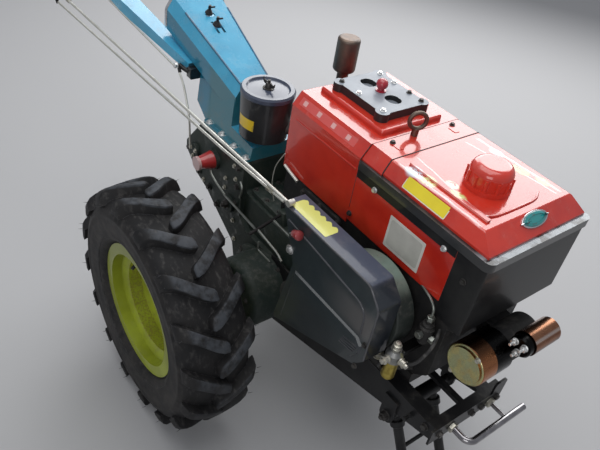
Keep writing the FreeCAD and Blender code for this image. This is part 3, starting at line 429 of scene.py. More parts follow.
RED, DEEP_RED = (0.62, 0.034, 0.016), (0.48, 0.020, 0.011)
COATS = {
    "tyre": rubber("tyre_rubber", (0.011, 0.011, 0.012), (0.019, 0.018, 0.018), dust=0.22, finish_and_painted_light=tread_tone),
    "rim_paint": painted("rim_green_paint", (0.36, 0.42, 0.030), (0.27, 0.31, 0.020), gloss=0.36, coat=0.25,
                         dust=0.1, chips=0.3, finish_and_painted_light=rim_tone, shine=0.3),
    "cast_dark": cast("dark_casting", (0.035, 0.036, 0.036), (0.055, 0.052, 0.048)),
    "cast_green": cast("gearbox_casting", (0.015, 0.027, 0.023), (0.027, 0.036, 0.028), grain=0.5, dust=0.22),
    "black_paint": painted("black_frame_paint", (0.008, 0.008, 0.009), (0.017, 0.017, 0.017), gloss=0.34,
                           coat=0.12, dust=0.13, shine=0.2),
    "engine_black": cast("engine_casting", (0.010, 0.010, 0.011), (0.019, 0.018, 0.017), grain=0.4, dust=0.15,
                         shine=0.3),
    # the blue-grey of the cover's top is painted reflection on the black cover
    "cover_black": painted("cover_paint", (0.27, 0.30, 0.34), (0.21, 0.235, 0.27), gloss=0.45, coat=0.2,
                           finish_and_painted_light=cover_tone),
    "bright_steel": plated("bright_steel", (0.76, 0.75, 0.69), (0.62, 0.61, 0.55), rough=0.32, metal=0.7),
    "dark_steel": plated("burnt_steel", (0.13, 0.11, 0.10), (0.20, 0.15, 0.12), rough=0.42, stain=0.6),
    "red_paint": painted("red_gloss_paint", RED, DEEP_RED, gloss=0.20, coat=1.0, dust=0.2),
    "belt_rubber": rubber("belt_rubber", (0.020, 0.020, 0.020), (0.035, 0.034, 0.033), dust=0.5),
    "flywheel_paint": cast("flywheel_paint", (0.22, 0.30, 0.25), (0.15, 0.20, 0.17), rough=0.4, grain=0.2,
                           finish_and_painted_light=flywheel_tone),
    "guard_paint": painted("guard_slate_paint", (0.030, 0.040, 0.044), (0.022, 0.030, 0.034), gloss=0.34,
                           coat=0.45, dust=0.18, finish_and_painted_light=guard_tone),
    "zinc": plated("gold_plate", (0.68, 0.56, 0.24), (0.56, 0.42, 0.16), rough=0.2, stain=0.15),
    "filter": plated("cast_aluminium", (0.38, 0.38, 0.37), (0.26, 0.26, 0.25), rough=0.36, finish_and_painted_light=filter_tone),
    "red_plastic": painted("red_plastic", (0.52, 0.03, 0.03), (0.44, 0.02, 0.02), gloss=0.32, finish_and_painted_light=cap_tone),
    "blue_paint": painted("blue_gloss_paint", (0.065, 0.40, 0.62), (0.045, 0.33, 0.53), gloss=0.22, coat=1.0,
                          dust=0.2, finish_and_painted_light=column_tone),
    "grip_rubber": rubber("grip_rubber", (0.022, 0.022, 0.022), (0.035, 0.034, 0.033)),
}
OWN_COATS = {
    "fuel_tank": painted("tank_red_paint", RED, DEEP_RED, gloss=0.20, coat=1.0, dust=0.15, finish_and_painted_light=tank_tone),
    "starter_motor": plated("starter_plate", (0.62, 0.58, 0.26), (0.54, 0.44, 0.20), rough=0.2, stain=0.1,
                            finish_and_painted_light=starter_tone),
    "starter_solenoid": plated("solenoid_plate", (0.36, 0.17, 0.10), (0.28, 0.12, 0.07), rough=0.18, stain=0.1,
                               finish_and_painted_light=solenoid_tone),
    "air_cleaner": painted("cleaner_paint", (0.016, 0.017, 0.019), (0.028, 0.028, 0.030), gloss=0.3, coat=0.5,
                           finish_and_painted_light=cleaner_tone),
    "handlebar_right": painted("handle_blue_paint", (0.065, 0.40, 0.62), (0.045, 0.33, 0.53), gloss=0.24,
                               coat=0.9, chips=0.2, finish_and_painted_light=handle_tone),
}
OWN_COATS["handlebar_left"] = OWN_COATS["handlebar_right"]
OWN_COATS["front_guard_bar"] = plated("guard_bar_chrome", (0.40, 0.39, 0.40), (0.24, 0.23, 0.24), rough=0.12, stain=0.25)
OWN_COATS["tank_band"] = painted("band_black_paint", (0.016, 0.017, 0.018), (0.026, 0.026, 0.026), gloss=0.3,
                                 coat=0.5, finish_and_painted_light=band_tone)
LABEL_YELLOW = painted("yellow_label", (0.88, 0.72, 0.035), (0.80, 0.64, 0.03), gloss=0.3, coat=0.4, dust=0.1)
LABEL_PALE = painted("pale_yellow_label", (0.80, 0.80, 0.22), (0.72, 0.72, 0.18), gloss=0.3, coat=0.4, dust=0.1)
LABEL_WHITE = painted("foil_label", (0.72, 0.70, 0.64), (0.60, 0.58, 0.53), gloss=0.3, coat=0.4, dust=0.15)
LABEL_EDGE = painted("label_edge", (0.80, 0.78, 0.62), (0.70, 0.68, 0.52), gloss=0.35, coat=0.3, dust=0.1)
BADGE_TEAL = painted("teal_badge", (0.015, 0.17, 0.17), (0.02, 0.26, 0.26), gloss=0.15, coat=1.0, dust=0.05)
ZINC_BOLT = plated("bolt_plate", (0.62, 0.60, 0.53), (0.48, 0.46, 0.38), rough=0.3, metal=0.85, stain=0.3)
SILVER = plated("silver_plate", (0.84, 0.84, 0.83), (0.70, 0.70, 0.69), rough=0.24, metal=0.8, stain=0.12)
# lighter copy of the slate guard paint: painted highlight on the beads and slots
GUARD_BEAD = painted("guard_bead", (0.060, 0.062, 0.070), (0.040, 0.042, 0.050), gloss=0.3, coat=0.6, dust=0.3)
DARK_BOLT = plated("black_bolt", (0.055, 0.052, 0.05), (0.09, 0.085, 0.08), rough=0.4, metal=0.7, stain=0.5)
CHROME = plated("rolled_edge_chrome", (0.78, 0.79, 0.80), (0.62, 0.63, 0.65), rough=0.1, stain=0.1)
KNOB_RED = painted("red_knob", (0.32, 0.04, 0.045), (0.24, 0.03, 0.03), gloss=0.4, coat=0.3)
OILY_STEEL = plated("oily_steel", (0.34, 0.36, 0.33), (0.22, 0.23, 0.21), rough=0.34, stain=0.5)
RED_BALL = painted("red_float", (0.50, 0.02, 0.05), (0.40, 0.015, 0.03), gloss=0.3)
LABEL_PRINT = painted("foil_label_field", (0.56, 0.55, 0.50), (0.40, 0.39, 0.35), gloss=0.3, coat=0.4, dust=0.2)
FADED_STRIP = painted("faded_strip", (0.66, 0.10, 0.09), (0.60, 0.07, 0.06), gloss=0.35, coat=0.4, dust=0.2)
FADED_FIELD = painted("faded_field", (0.78, 0.42, 0.40), (0.70, 0.33, 0.31), gloss=0.35, coat=0.4, dust=0.2)
CLEANER_LABEL = painted("cleaner_label", (0.80, 0.56, 0.03), (0.72, 0.47, 0.02), gloss=0.35, coat=0.4, dust=0.1)
# the fold strip is real; its dark blue is painted shadow along the step
FOLD_SHADOW_BLUE = painted("column_fold_shadow_blue", (0.010, 0.11, 0.22), (0.008, 0.085, 0.17), gloss=0.3)
HOSE = rubber("fuel_hose", (0.018, 0.018, 0.018), (0.030, 0.029, 0.028), rough=0.45)

slot_of = {row["node"]: row["material_slot"] for row in frame["record"]["subparts"]}
for node_name, node in NODES.items():
    coat = OWN_COATS.get(node_name, COATS[slot_of[node_name]])
    for place in node.material_slots:
        place.link = "OBJECT"
        place.material = coat.material

# Shaping helpers


def edit(piece, kind="FACE"):
    """Opens a piece for editing with nothing selected."""
    if bpy.context.mode != "OBJECT":
        bpy.ops.object.mode_set(mode="OBJECT")
    bpy.ops.object.select_all(action="DESELECT")
    piece.select_set(True)
    bpy.context.view_layer.objects.active = piece
    bpy.ops.object.mode_set(mode="EDIT")
    bpy.ops.mesh.select_mode(type=kind)
    bpy.ops.mesh.select_all(action="DESELECT")


def pick(piece, test, kind="FACE"):
    """Selects the faces, edges or points that pass a test."""
    bpy.ops.mesh.select_mode(type=kind)
    bpy.ops.mesh.select_all(action="DESELECT")
    shape = bmesh.from_edit_mesh(piece.data)
    parts = {"FACE": shape.faces, "EDGE": shape.edges, "VERT": shape.verts}[kind]
    for part in parts:
        if test(part):
            part.select_set(True)
    bmesh.update_edit_mesh(piece.data)


def leave():
    bpy.ops.object.mode_set(mode="OBJECT")


def begin(name, shape, **sizes):
    """Adds a primitive at its size and opens it for editing."""
    bpy.ops.object.select_all(action="DESELECT")
    getattr(bpy.ops.mesh, f"primitive_{shape}_add")(**sizes)
    piece = bpy.context.object
    piece.name = name
    bpy.ops.object.transform_apply(location=True, rotation=True, scale=True)
    edit(piece)
    return piece


def tidy_faces():
    """Merges doubles and turns every face outwards."""
    bpy.ops.mesh.select_all(action="SELECT")
    bpy.ops.mesh.remove_doubles(threshold=0.00002)
    bpy.ops.mesh.normals_make_consistent(inside=False)
    leave()


def join(pieces, name):
    """Joins pieces into one."""
    bpy.ops.object.select_all(action="DESELECT")
    for piece in pieces:
        piece.select_set(True)
    bpy.context.view_layer.objects.active = pieces[0]
    if len(pieces) > 1:
        bpy.ops.object.join()
    pieces[0].name = name
    pieces[0].data.name = name
    return pieces[0]


def facing(out, up=(0, 0, 1)):
    """A turn that points +Z out and +Y as near up as it goes."""
    z = Vector(out).normalized()
    x = Vector(up).cross(z)
    if x.length < 1e-6:
        x = Vector((0, 1, 0)).cross(z)
    x.normalize()
    return Matrix((x, z.cross(x), z)).transposed().to_4x4()


def set_down(piece, place, out=(0, 0, 1), up=(0, 0, 1)):
    """Moves the mesh of a piece that was shaped round the middle to its place."""
    piece.data.transform(Matrix.Translation(place) @ facing(out, up))
    return piece


def copy_of(pattern):
    piece = pattern.copy()
    piece.data = pattern.data.copy()
    bpy.context.scene.collection.objects.link(piece)
    return piece


def dress(piece, coat, body="chassis", angle=35.0):
    """Shades a piece smooth up to an angle, gives it its material and lets it ride on its body."""
    bpy.ops.object.select_all(action="DESELECT")
    piece.select_set(True)
    bpy.context.view_layer.objects.active = piece
    bpy.ops.object.shade_smooth_by_angle(angle=math.radians(angle))
    piece.data.materials.clear()
    piece.data.materials.append(coat.material)
    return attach(piece, body)


def many(name, pattern, places, coat, body="chassis"):
    """One piece made of a copy of a pattern at each (place, out direction, turn in degrees)."""
    copies = []
    for place, out, turn in places:
        piece = copy_of(pattern)
        piece.data.transform(Matrix.Rotation(math.radians(turn), 4, "Z"))
        copies.append(set_down(piece, place, out))
    return dress(join(copies, name), coat, body)


def eased(points, bend):
    """The points of a path with each corner cut by a short arc."""
    path = [points[0]]
    for before, corner, after in zip(points, points[1:], points[2:]):
        near = corner + (before - corner).normalized() * min(bend, (before - corner).length * 0.45)
        far = corner + (after - corner).normalized() * min(bend, (after - corner).length * 0.45)
        for k in range(6):
            t = k / 5
            path.append(near * (1 - t) ** 2 + corner * 2 * t * (1 - t) + far * t ** 2)
    return path + [points[-1]]


def bent_rod(name, spots, radius, coat, body="chassis", bend=12.0, rings=3):
    """A round rod or hose through spots, made a mesh."""
    path = eased([spot(*s) for s in spots], bend * MM)
    curve = bpy.data.curves.new(name, "CURVE")
    curve.dimensions = "3D"
    curve.bevel_depth = radius * MM
    curve.bevel_resolution = rings
    curve.use_fill_caps = True
    line = curve.splines.new("POLY")
    line.points.add(len(path) - 1)
    for point, place in zip(line.points, path):
        point.co = (*place, 1.0)
    rod = bpy.data.objects.new(name, curve)
    bpy.context.scene.collection.objects.link(rod)
    bpy.ops.object.select_all(action="DESELECT")
    rod.select_set(True)
    bpy.context.view_layer.objects.active = rod
    bpy.ops.object.convert(target="MESH")
    return dress(bpy.context.object, coat, body)


def spun(name, profile, steps=32):
    """A turned body round +Z from (radius, height) points in millimetres, closed at both ends on the axis."""
    piece = begin(name, "plane", size=0.002)
    bpy.ops.mesh.select_mode(type="VERT")
    bpy.ops.mesh.select_all(action="SELECT")
    bpy.ops.mesh.merge(type="CENTER")
    radius, height = profile[0]
    bpy.ops.transform.translate(value=(radius * MM, 0, height * MM))
    for (r0, h0), (r1, h1) in zip(profile, profile[1:]):
        step = {"value": ((r1 - r0) * MM, 0, (h1 - h0) * MM)}
        bpy.ops.mesh.extrude_vertices_move(TRANSFORM_OT_translate=step)
    bpy.ops.mesh.select_all(action="SELECT")
    bpy.ops.mesh.spin(steps=steps, angle=math.tau, center=(0, 0, 0), axis=(0, 0, 1))
    tidy_faces()
    return piece


def hex_head(name, across, height, washer=0.0, stud=0.0):
    """A bolt head or nut on its washer, standing on z = 0, with a stud end through it."""
    parts = []
    base = 1.6 if washer else 0.0
    if washer:
        parts.append(spun("washer", [(0.0, 0.0), (washer, 0.0), (washer, base - 0.4), (washer - 0.5, base),
                                     (0.0, base)], 20))
    head = begin("head", "cylinder", vertices=6, radius=across / 2 * MM / math.cos(math.pi / 6),
                 depth=height * MM, location=(0, 0, (base + height / 2) * MM))
    pick(head, lambda face: face.normal.z > 0.9)
    bpy.ops.mesh.inset(thickness=across * 0.09 * MM)
    bpy.ops.transform.translate(value=(0, 0, across * 0.045 * MM))
    pick(head, lambda face: len(face.verts) == 6 and face.normal.z > 0.9)
    bpy.ops.mesh.inset(thickness=across * 0.10 * MM)
    bpy.ops.transform.translate(value=(0, 0, -across * 0.02 * MM))
    leave()
    parts.append(head)
    if stud:
        top = base + height
        parts.append(spun("stud", [(0.0, top - 1), (across * 0.27, top - 1), (across * 0.27, top + stud - 0.8),
                                   (across * 0.21, top + stud), (0.0, top + stud)], 12))
    return join(parts, name)


def plate(name, length, height, thick, corner=0.0, edge=0.0):
    """A flat plate on z = 0 with rounded corners and softened upper edges."""
    piece = begin(name, "plane", size=1.0)
    bpy.ops.mesh.select_all(action="SELECT")
    bpy.ops.transform.resize(value=(length * MM, height * MM, 1))
    if corner:
        bpy.ops.mesh.select_mode(type="VERT")
        bpy.ops.mesh.select_all(action="SELECT")
        bpy.ops.mesh.bevel(offset=corner * MM, segments=4, affect="VERTICES")
    bpy.ops.mesh.select_mode(type="FACE")
    bpy.ops.mesh.select_all(action="SELECT")
    bpy.ops.mesh.extrude_region_move(TRANSFORM_OT_translate={"value": (0, 0, thick * MM)})
    if edge:
        bpy.ops.mesh.inset(thickness=edge * MM)
        bpy.ops.transform.translate(value=(0, 0, edge * 0.5 * MM))
    tidy_faces()
    return piece


# Tyres with chevron bars

LUG_COUNT = 16
# one bar: out from the middle, back round the tyre, radius of its top, half its width
LUG_PATH = [(-16.0, -6.0, 318.0, 11.0), (-11.0, -3.0, 320.0, 17.5), (2.0, 3.0, 320.0, 21.0),
            (18.0, 13.0, 320.0, 21.0), (34.0, 26.0, 319.5, 20.5), (50.0, 40.0, 318.5, 20.5),
            (65.0, 52.0, 316.5, 21.0), (79.0, 61.0, 312.0, 22.0), (88.0, 66.0, 304.0, 23.0),
            (93.0, 68.0, 288.0, 24.0)]
LUG_FOOT_R = 278.0
CARCASS = [(153.4, 66.7), (168.0, 66.8), (181.0, 67.0), (183.5, 73.0), (188.0, 79.5), (195.0, 83.5),
           (199.0, 84.5), (200.0, 86.2), (205.0, 87.4), (206.5, 86.8), (222.0, 90.3), (240.0, 91.4),
           (252.0, 91.0), (253.5, 92.0), (259.0, 91.6), (260.5, 90.2), (271.0, 87.0), (281.0, 80.5),
           (287.5, 70.0), (291.5, 52.0), (293.5, 27.0), (294.0, 0.0)]


def lug():
    """One tread bar laid flat: +X back round the tyre, +Y out from its middle, Z the radius."""
    out, back, top, half = LUG_PATH[0]
    bar = begin("lug", "plane", size=1.0, rotation=(math.pi / 2, 0, 0))
    bpy.ops.mesh.select_all(action="SELECT")
    bpy.ops.transform.resize(value=(2 * half * MM, 1, (top - LUG_FOOT_R) * MM))
    bpy.ops.transform.translate(value=(back * MM, out * MM, (top + LUG_FOOT_R) / 2 * MM))
    pick(bar, lambda vert: vert.co.z > 0.3, "VERT")
    bpy.ops.transform.resize(value=(0.8, 1, 1))
    bpy.ops.mesh.select_mode(type="FACE")
    bpy.ops.mesh.select_all(action="SELECT")
    for before, after in zip(LUG_PATH, LUG_PATH[1:]):
        move = ((after[1] - before[1]) * MM, (after[0] - before[0]) * MM, 0)
        bpy.ops.mesh.extrude_region_move(TRANSFORM_OT_translate={"value": move})
        tall = (after[2] - LUG_FOOT_R) / (before[2] - LUG_FOOT_R)
        foot = (after[1] * MM, after[0] * MM, LUG_FOOT_R * MM)
        bpy.ops.transform.resize(value=(after[3] / before[3], 1, tall), center_override=foot)
    tidy_faces()
    edit(bar)
    pick(bar, lambda edge: min(v.co.z for v in edge.verts) > 0.285 and edge.is_boundary is False
         and edge.calc_face_angle(0) > 0.9, "EDGE")
    bpy.ops.mesh.bevel(offset=3.0 * MM, segments=2)
    tidy_faces()
    for point in bar.data.vertices:
        turn = point.co.x / (TYRE_R * MM)
        radius = point.co.z
        point.co = Vector((-radius * math.sin(turn), -point.co.y, radius * math.cos(turn)))
    return bar


def whisker():
    """A fine moulding hair standing out of a bar's end."""
    hair = begin("whisker", "cone", vertices=4, radius1=0.8 * MM, radius2=0.25 * MM, depth=11.0 * MM)
    pick(hair, lambda vert: vert.co.z > 0, "VERT")
    bpy.ops.transform.translate(value=(1.4 * MM, 0, 0))
    leave()
    return hair


def tyre():
    """Right tyre round the middle: turned carcass, two rows of bars half a step apart, and their hairs."""
    section = CARCASS + [(r, -a) for r, a in reversed(CARCASS[:-1])]
    carcass = spun("carcass", section + section[:1], 120)
    carcass.data.transform(Matrix.Rotation(math.pi / 2, 4, "X"))
    bar, hair = lug(), whisker()
    parts = [carcass]
    step = math.tau / LUG_COUNT
    rng = random.Random(5)
    for row, sign in enumerate((1, -1)):
        side = copy_of(bar)
        if sign < 0:
            side.data.transform(Matrix.Scale(-1, 4, (0, 1, 0)))
            side.data.flip_normals()
        for k in range(LUG_COUNT):
            turn = Matrix.Rotation(-step * (k + row * 0.5), 4, "Y")
            piece = copy_of(side)
            piece.data.transform(turn)
            parts.append(piece)
            for back in (52.0, 82.0):
                if rng.random() < 0.75:
                    tip = copy_of(hair)
                    set_down(tip, Vector((-back * 0.93 * MM, -sign * 92.0 * MM, 0.301)), (0, -sign, 0.25))
                    tip.data.transform(turn)
                    parts.append(tip)
        bpy.data.objects.remove(side)
    made = join(parts, "tyre_tread_right")
    for spare in (bar, hair):
        bpy.data.objects.remove(spare)
    return made


tread = tyre()
tread_left = copy_of(tread)
tread_left.name = tread_left.data.name = "tyre_tread_left"
tread_left.data.transform(Matrix.Scale(-1, 4, (0, 1, 0)))
tread_left.data.flip_normals()
for piece, side, y in [(tread, "right", -WHEEL_Y), (tread_left, "left", WHEEL_Y)]:
    piece.data.transform(Matrix.Translation(spot(0, y, AXLE_Z)))
    dress(piece, COATS["tyre"], f"wheel_{side}", 40.0)
    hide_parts(f"tyre_{side}")

# Bolts and nuts


def ring(x, z, radius, degrees):
    """Places round a circle seen from the side."""
    return [(x + radius * math.cos(math.radians(a)), z + radius * math.sin(math.radians(a))) for a in degrees]


def on_side(y, points, step=37.0):
    """Places on an upright face at y that point away from the middle, each head turned a little more."""
    out = (0, 1 if y > 0 else -1, 0)
    return [(spot(x, y, z), out, step * k) for k, (x, z) in enumerate(points)]


def both_sides(y, points):
    return on_side(-y, points) + on_side(y, points)


def on_top(z, points, step=23.0):
    """Places on a level face at z."""
    return [(spot(x, y, z), (0, 0, 1), step * k) for k, (x, y) in enumerate(points)]


bolt = hex_head("bolt", 13, 5.5, 9.5)
small_bolt = hex_head("small_bolt", 9, 4, 7)
washer_bolt = hex_head("washer_bolt", 12, 5, 12)
big_nut = hex_head("big_nut", 19, 10, 14, 7)

# cover bolts, x and z; the first table sits on the cast pads
COVER_BOLTS = [(-300, 590), (-240, 592), (-180, 592), (-118, 580), (-116, 520), (-118, 462), (-209, 396),
               (-258, 426), (-318, 445), (-380, 492)]
PALE_BOLTS = [(-293, 429), (-140, 572), (-129, 536), (-178, 508), (-124, 396), (-110, 339), (-179, 476)]
many("gearbox_cover_bolts", bolt, both_sides(COVER_Y + 3, COVER_BOLTS), DARK_BOLT)
many("gearbox_dowel_bolts", small_bolt, both_sides(COVER_Y, PALE_BOLTS), ZINC_BOLT)
many("cover_plug_right", big_nut, on_side(-COVER_Y - 10, [(-150, 440)]), DARK_BOLT)
many("cover_plug_left", big_nut, on_side(COVER_Y + 10, [(-150, 440), (-242, 533)]), DARK_BOLT)
many("shift_cap_screws", small_bolt, both_sides(COVER_Y + 10, ring(-345, 500, 15, (30, 150, 270))), ZINC_BOLT)
many("axle_flange_bolts", bolt, both_sides(COVER_Y + 12, ring(0, AXLE_Z, 59, (145, 180, 215))), DARK_BOLT)
many("side_case_bolts", small_bolt, both_sides(200, ring(64, AXLE_Z - 2, 62, (-120, -72, -24, 24, 72, 120))),
     DARK_BOLT)

# wheels
WHEEL_NUTS = ring(0, AXLE_Z, 54, (18, 90, 162, 234, 306))
for side, sign in (("right", -1), ("left", 1)):
    body = f"wheel_{side}"
    disc_y = WHEEL_Y - 24
    many(f"wheel_nuts_{side}", big_nut, on_side(sign * disc_y, WHEEL_NUTS), ZINC_BOLT, body)
    axle_bolt = hex_head("axle_bolt", 24, 10, 26)
    many(f"axle_bolt_{side}", axle_bolt, on_side(sign * (disc_y + 28), [(0, AXLE_Z)]), DARK_BOLT, body)
    bpy.data.objects.remove(axle_bolt)
    stem = spun("stem", [(0.0, 0.0), (7.0, 0.0), (6.0, 6.0), (4.2, 12.0), (4.0, 30.0), (4.6, 30.5),
                         (4.6, 40.0), (3.6, 41.5), (0.0, 41.5)], 16)
    set_down(stem, spot(-64, sign * (WHEEL_Y + 22), AXLE_Z + 110), (0.25, sign * 0.85, -0.42))
    dress(stem, HOSE, body)
    stem.name = stem.data.name = f"valve_stem_{side}"

# hood, cover and panels
many("bridge_screws", small_bolt, on_top(860, [(273, 18), (272, 207)]), DARK_BOLT)
many("top_cover_bolts", small_bolt, on_top(892, [(115, 47), (199, 47), (56, 166), (105, 167)]), SILVER)
many("top_cover_screws", small_bolt, on_top(892, [(55, 46), (199, 166), (158, 167)]), DARK_BOLT)
many("panel_screws", small_bolt, on_side(-52.5, [(318, 788), (522, 786)]) + on_side(266.5, [(318, 788),
     (522, 786)]), SILVER)
many("panel_foot_screws", small_bolt, on_side(-51.5, [(263, 686), (586, 752)])
     + on_side(265.5, [(263, 686), (586, 752)]), DARK_BOLT)
many("guard_screws", small_bolt, on_side(-182, [(508, 562), (498, 486)]), DARK_BOLT)
many("guard_nut", washer_bolt, on_side(-182, [(232, 604)]), SILVER)
many("column_foot_bolts", washer_bolt, on_top(616, [(-300, -82), (-233, -82), (-168, -84), (-108, -84),
                                                   (-300, 82), (-233, 82), (-168, 84), (-108, 84)]), SILVER)

# frame: rail sides, engine feet, pivot ears and front member
RAIL_BOLTS = [(110, 400), (110, 340), (110, 280), (300, 398), (440, 400), (660, 408)]
many("rail_bolts", bolt, both_sides(100, RAIL_BOLTS), DARK_BOLT)
many("engine_foot_bolts", big_nut, on_top(441, [(230, -84), (480, -84), (230, 84), (480, 84)]), ZINC_BOLT)
many("member_bolts", bolt, [(spot(688, y, 406), (1, 0, 0), 20 + y) for y in (-84, 20, 52, 104)], DARK_BOLT)
many("pivot_nuts", big_nut, both_sides(106, [(565, 335)]), DARK_BOLT)
many("bracket_bolts", small_bolt, [(spot(x + 13, -112, z), (0, 0, -1), x) for x, z in ((290, 382), (440, 444))],
     DARK_BOLT)

# starter and solenoid studs on their near ends
terminal_nut = hex_head("terminal_nut", 13, 6, 8, 12)
many("solenoid_studs", terminal_nut, [(spot(x, 46, z), (0, -1, 0), x) for x, z in ((690, 632), (713, 634), (703, 612))],
     SILVER)
many("starter_through_bolts", small_bolt, on_side(-36, ring(652, 566, 43, (60, 240))), ZINC_BOLT)

# Blank labels and the badge


def label(name, coat, place, out, length, height, corner=2.0, thick=0.3, up=(0, 0, 1)):
    """A thin blank plate stuck on a face."""
    piece = plate(name, length, height, thick, corner)
    return dress(set_down(piece, spot(*place), out, up), coat)


SHOULDER = (0, -0.853, 0.521)
HOOD_SHOULDER = (0, -0.81, 0.587)
label("tank_label_border", LABEL_EDGE, (435, -37.3, 845.5), SHOULDER, 118, 29, 3.0, 0.15)
label("tank_label", LABEL_YELLOW, (435, -37.3, 845.5), SHOULDER, 114, 25, 1.5, 0.35)
label("panel_label", LABEL_WHITE, (429, -51.5, 724), (0, -1, 0), 104, 80, 2.0, 0.3)
label("panel_label_field", LABEL_PRINT, (429, -51.8, 724), (0, -1, 0), 92, 66, 6.0, 0.15)
label("hood_strip", FADED_STRIP, (124, -40.3, 844.5), HOOD_SHOULDER, 200, 20, 2.0, 0.2)
for k in range(4):
    label(f"hood_strip_field_{k + 1}", FADED_FIELD, (42 + 52 * k, -40.4, 844.6), HOOD_SHOULDER, 13, 12, 1.0, 0.35)

# label along the guard, with a scalloped edge towards the hood
piece = begin("guard_label", "grid", x_subdivisions=18, y_subdivisions=1, size=1)
bpy.ops.mesh.select_all(action="SELECT")
bpy.ops.transform.resize(value=(124 * MM, 34 * MM, 1))
pick(piece, lambda vert: vert.co.y > 0.01 and round((vert.co.x + 0.062) / 0.006889) % 3 == 1, "VERT")
bpy.ops.transform.translate(value=(0, 8 * MM, 0))
pick(piece, lambda vert: vert.co.y > 0.01 and round((vert.co.x + 0.062) / 0.006889) % 3 == 2, "VERT")
bpy.ops.transform.translate(value=(0, 6 * MM, 0))
pick(piece, lambda vert: abs(vert.co.x) > 0.05, "VERT")
bpy.ops.mesh.select_all(action="SELECT")
bpy.ops.mesh.dissolve_limited(angle_limit=0.01)
bpy.ops.mesh.select_mode(type="VERT")
bpy.ops.mesh.select_all(action="SELECT")
bpy.ops.mesh.bevel(offset=2.2 * MM, segments=3, affect="VERTICES")
bpy.ops.mesh.select_mode(type="FACE")
bpy.ops.mesh.select_all(action="SELECT")
bpy.ops.mesh.extrude_region_move(TRANSFORM_OT_translate={"value": (0, 0, 0.3 * MM)})
tidy_faces()
piece.data.transform(Matrix.Translation(spot(263, -158, 710)))
dress(piece, LABEL_PALE)

# pointed oval badge on the sloped front of the tank
BADGE_OUT = (0.617, 0, 0.787)
for name, coat, wide, low, high in [("badge_rim", CHROME, 1.0, 0.0, 3.2), ("badge_field", BADGE_TEAL, 0.86, 0.5, 3.6)]:
    piece = begin(name, "cylinder", vertices=48, radius=1.0, depth=1.0)
    bpy.ops.mesh.select_all(action="SELECT")
    bpy.ops.transform.resize(value=(39 * wide * MM, 16.5 * wide * MM, (high - low) * MM))
    bpy.ops.transform.translate(value=(0, 0, (high + low) / 2 * MM))
    pick(piece, lambda vert: abs(vert.co.y) < 0.0012, "VERT")
    bpy.ops.transform.resize(value=(1.17, 1, 1))
    pick(piece, lambda face: face.normal.z > 0.9)
    bpy.ops.mesh.bevel(offset=1.1 * MM, segments=3)
    if coat is CHROME:
        pick(piece, lambda face: face.normal.z > 0.9)
        bpy.ops.mesh.inset(thickness=3.0 * MM)
        bpy.ops.transform.translate(value=(0, 0, -0.9 * MM))
    else:
        pick(piece, lambda face: face.normal.z > 0.9)
        bpy.ops.mesh.inset(thickness=6.0 * MM)
        bpy.ops.transform.translate(value=(0, 0, 0.8 * MM))
    tidy_faces()
    dress(set_down(piece, spot(588, 108, 850), BADGE_OUT), coat)

# foil strip round the air cleaner can
strip = begin("cleaner_label", "circle", vertices=96, radius=66.9 * MM, fill_type="NOTHING")
pick(strip, lambda vert: not -1.92 < math.atan2(vert.co.y, vert.co.x) < -1.02, "VERT")
bpy.ops.mesh.delete(type="VERT")
bpy.ops.mesh.select_all(action="SELECT")
bpy.ops.mesh.extrude_region_move(TRANSFORM_OT_translate={"value": (0, 0, 30 * MM)})
bpy.ops.transform.resize(value=(1.02, 1.02, 1))
bpy.ops.mesh.select_all(action="SELECT")
bpy.ops.mesh.extrude_region_move(TRANSFORM_OT_translate={"value": (0, 0, 0)})
bpy.ops.transform.resize(value=(0.992, 0.992, 1))
tidy_faces()
strip.data.transform(Matrix.Translation(spot(-128, -24, 701)))
dress(strip, CLEANER_LABEL, angle=20)

# rolled beads and slots pressed in the guard, in a lighter slate than the guard paint as a painted highlight
bent_rod("guard_edge_bead", [(192, -183, 708), (479, -183, 708), (516, -183, 671), (516, -183, 524)], 2.4,
         GUARD_BEAD, bend=10)
bent_rod("guard_face_bead", [(212, -182, 677), (300, -182, 668), (466, -182, 650), (486, -182, 632),
                             (488, -182, 578)], 2.6, GUARD_BEAD, bend=12)
slot = plate("slot", 44, 2.6, 1.4, 1.2)
slots = [(spot(464 + 3 * k, -187, 517 + 8 * k), (0, -1, 0), 10) for k in range(4)]
many("guard_slots", slot, slots, GUARD_BEAD)
bpy.data.objects.remove(slot)

# Hood and tank fittings

bent_rod("tank_seal", [(321.4, -46.2, 806), (321.4, -46.2, 831), (321.4, -29, 859.8), (321.4, 243, 859.8),
                       (321.4, 260.2, 831), (321.4, 260.2, 806)], 1.5, HOSE, bend=3)
bent_rod("hood_seam", [(257.4, -51.2, 700), (257.4, -51.2, 829), (257.4, -29, 859.8), (257.4, 243, 859.8),
                       (257.4, 265.2, 829), (257.4, 265.2, 700)], 0.8, HOSE, bend=3)
bent_rod("tank_pad_lip", [(545, 4, 862), (554, 24, 861.5), (556, 60, 861), (556, 150, 861), (540, 178, 860.5)], 2.6,
         OWN_COATS["fuel_tank"], bend=24)
for side, y in (("right", -51.5), ("left", 265.5)):
    crease = plate(f"hood_crease_{side}", 222, 4, 1.0, 1.5, 0.8)
    dress(set_down(crease, spot(140, y, 799), (0, y, 0)), COATS["red_paint"])

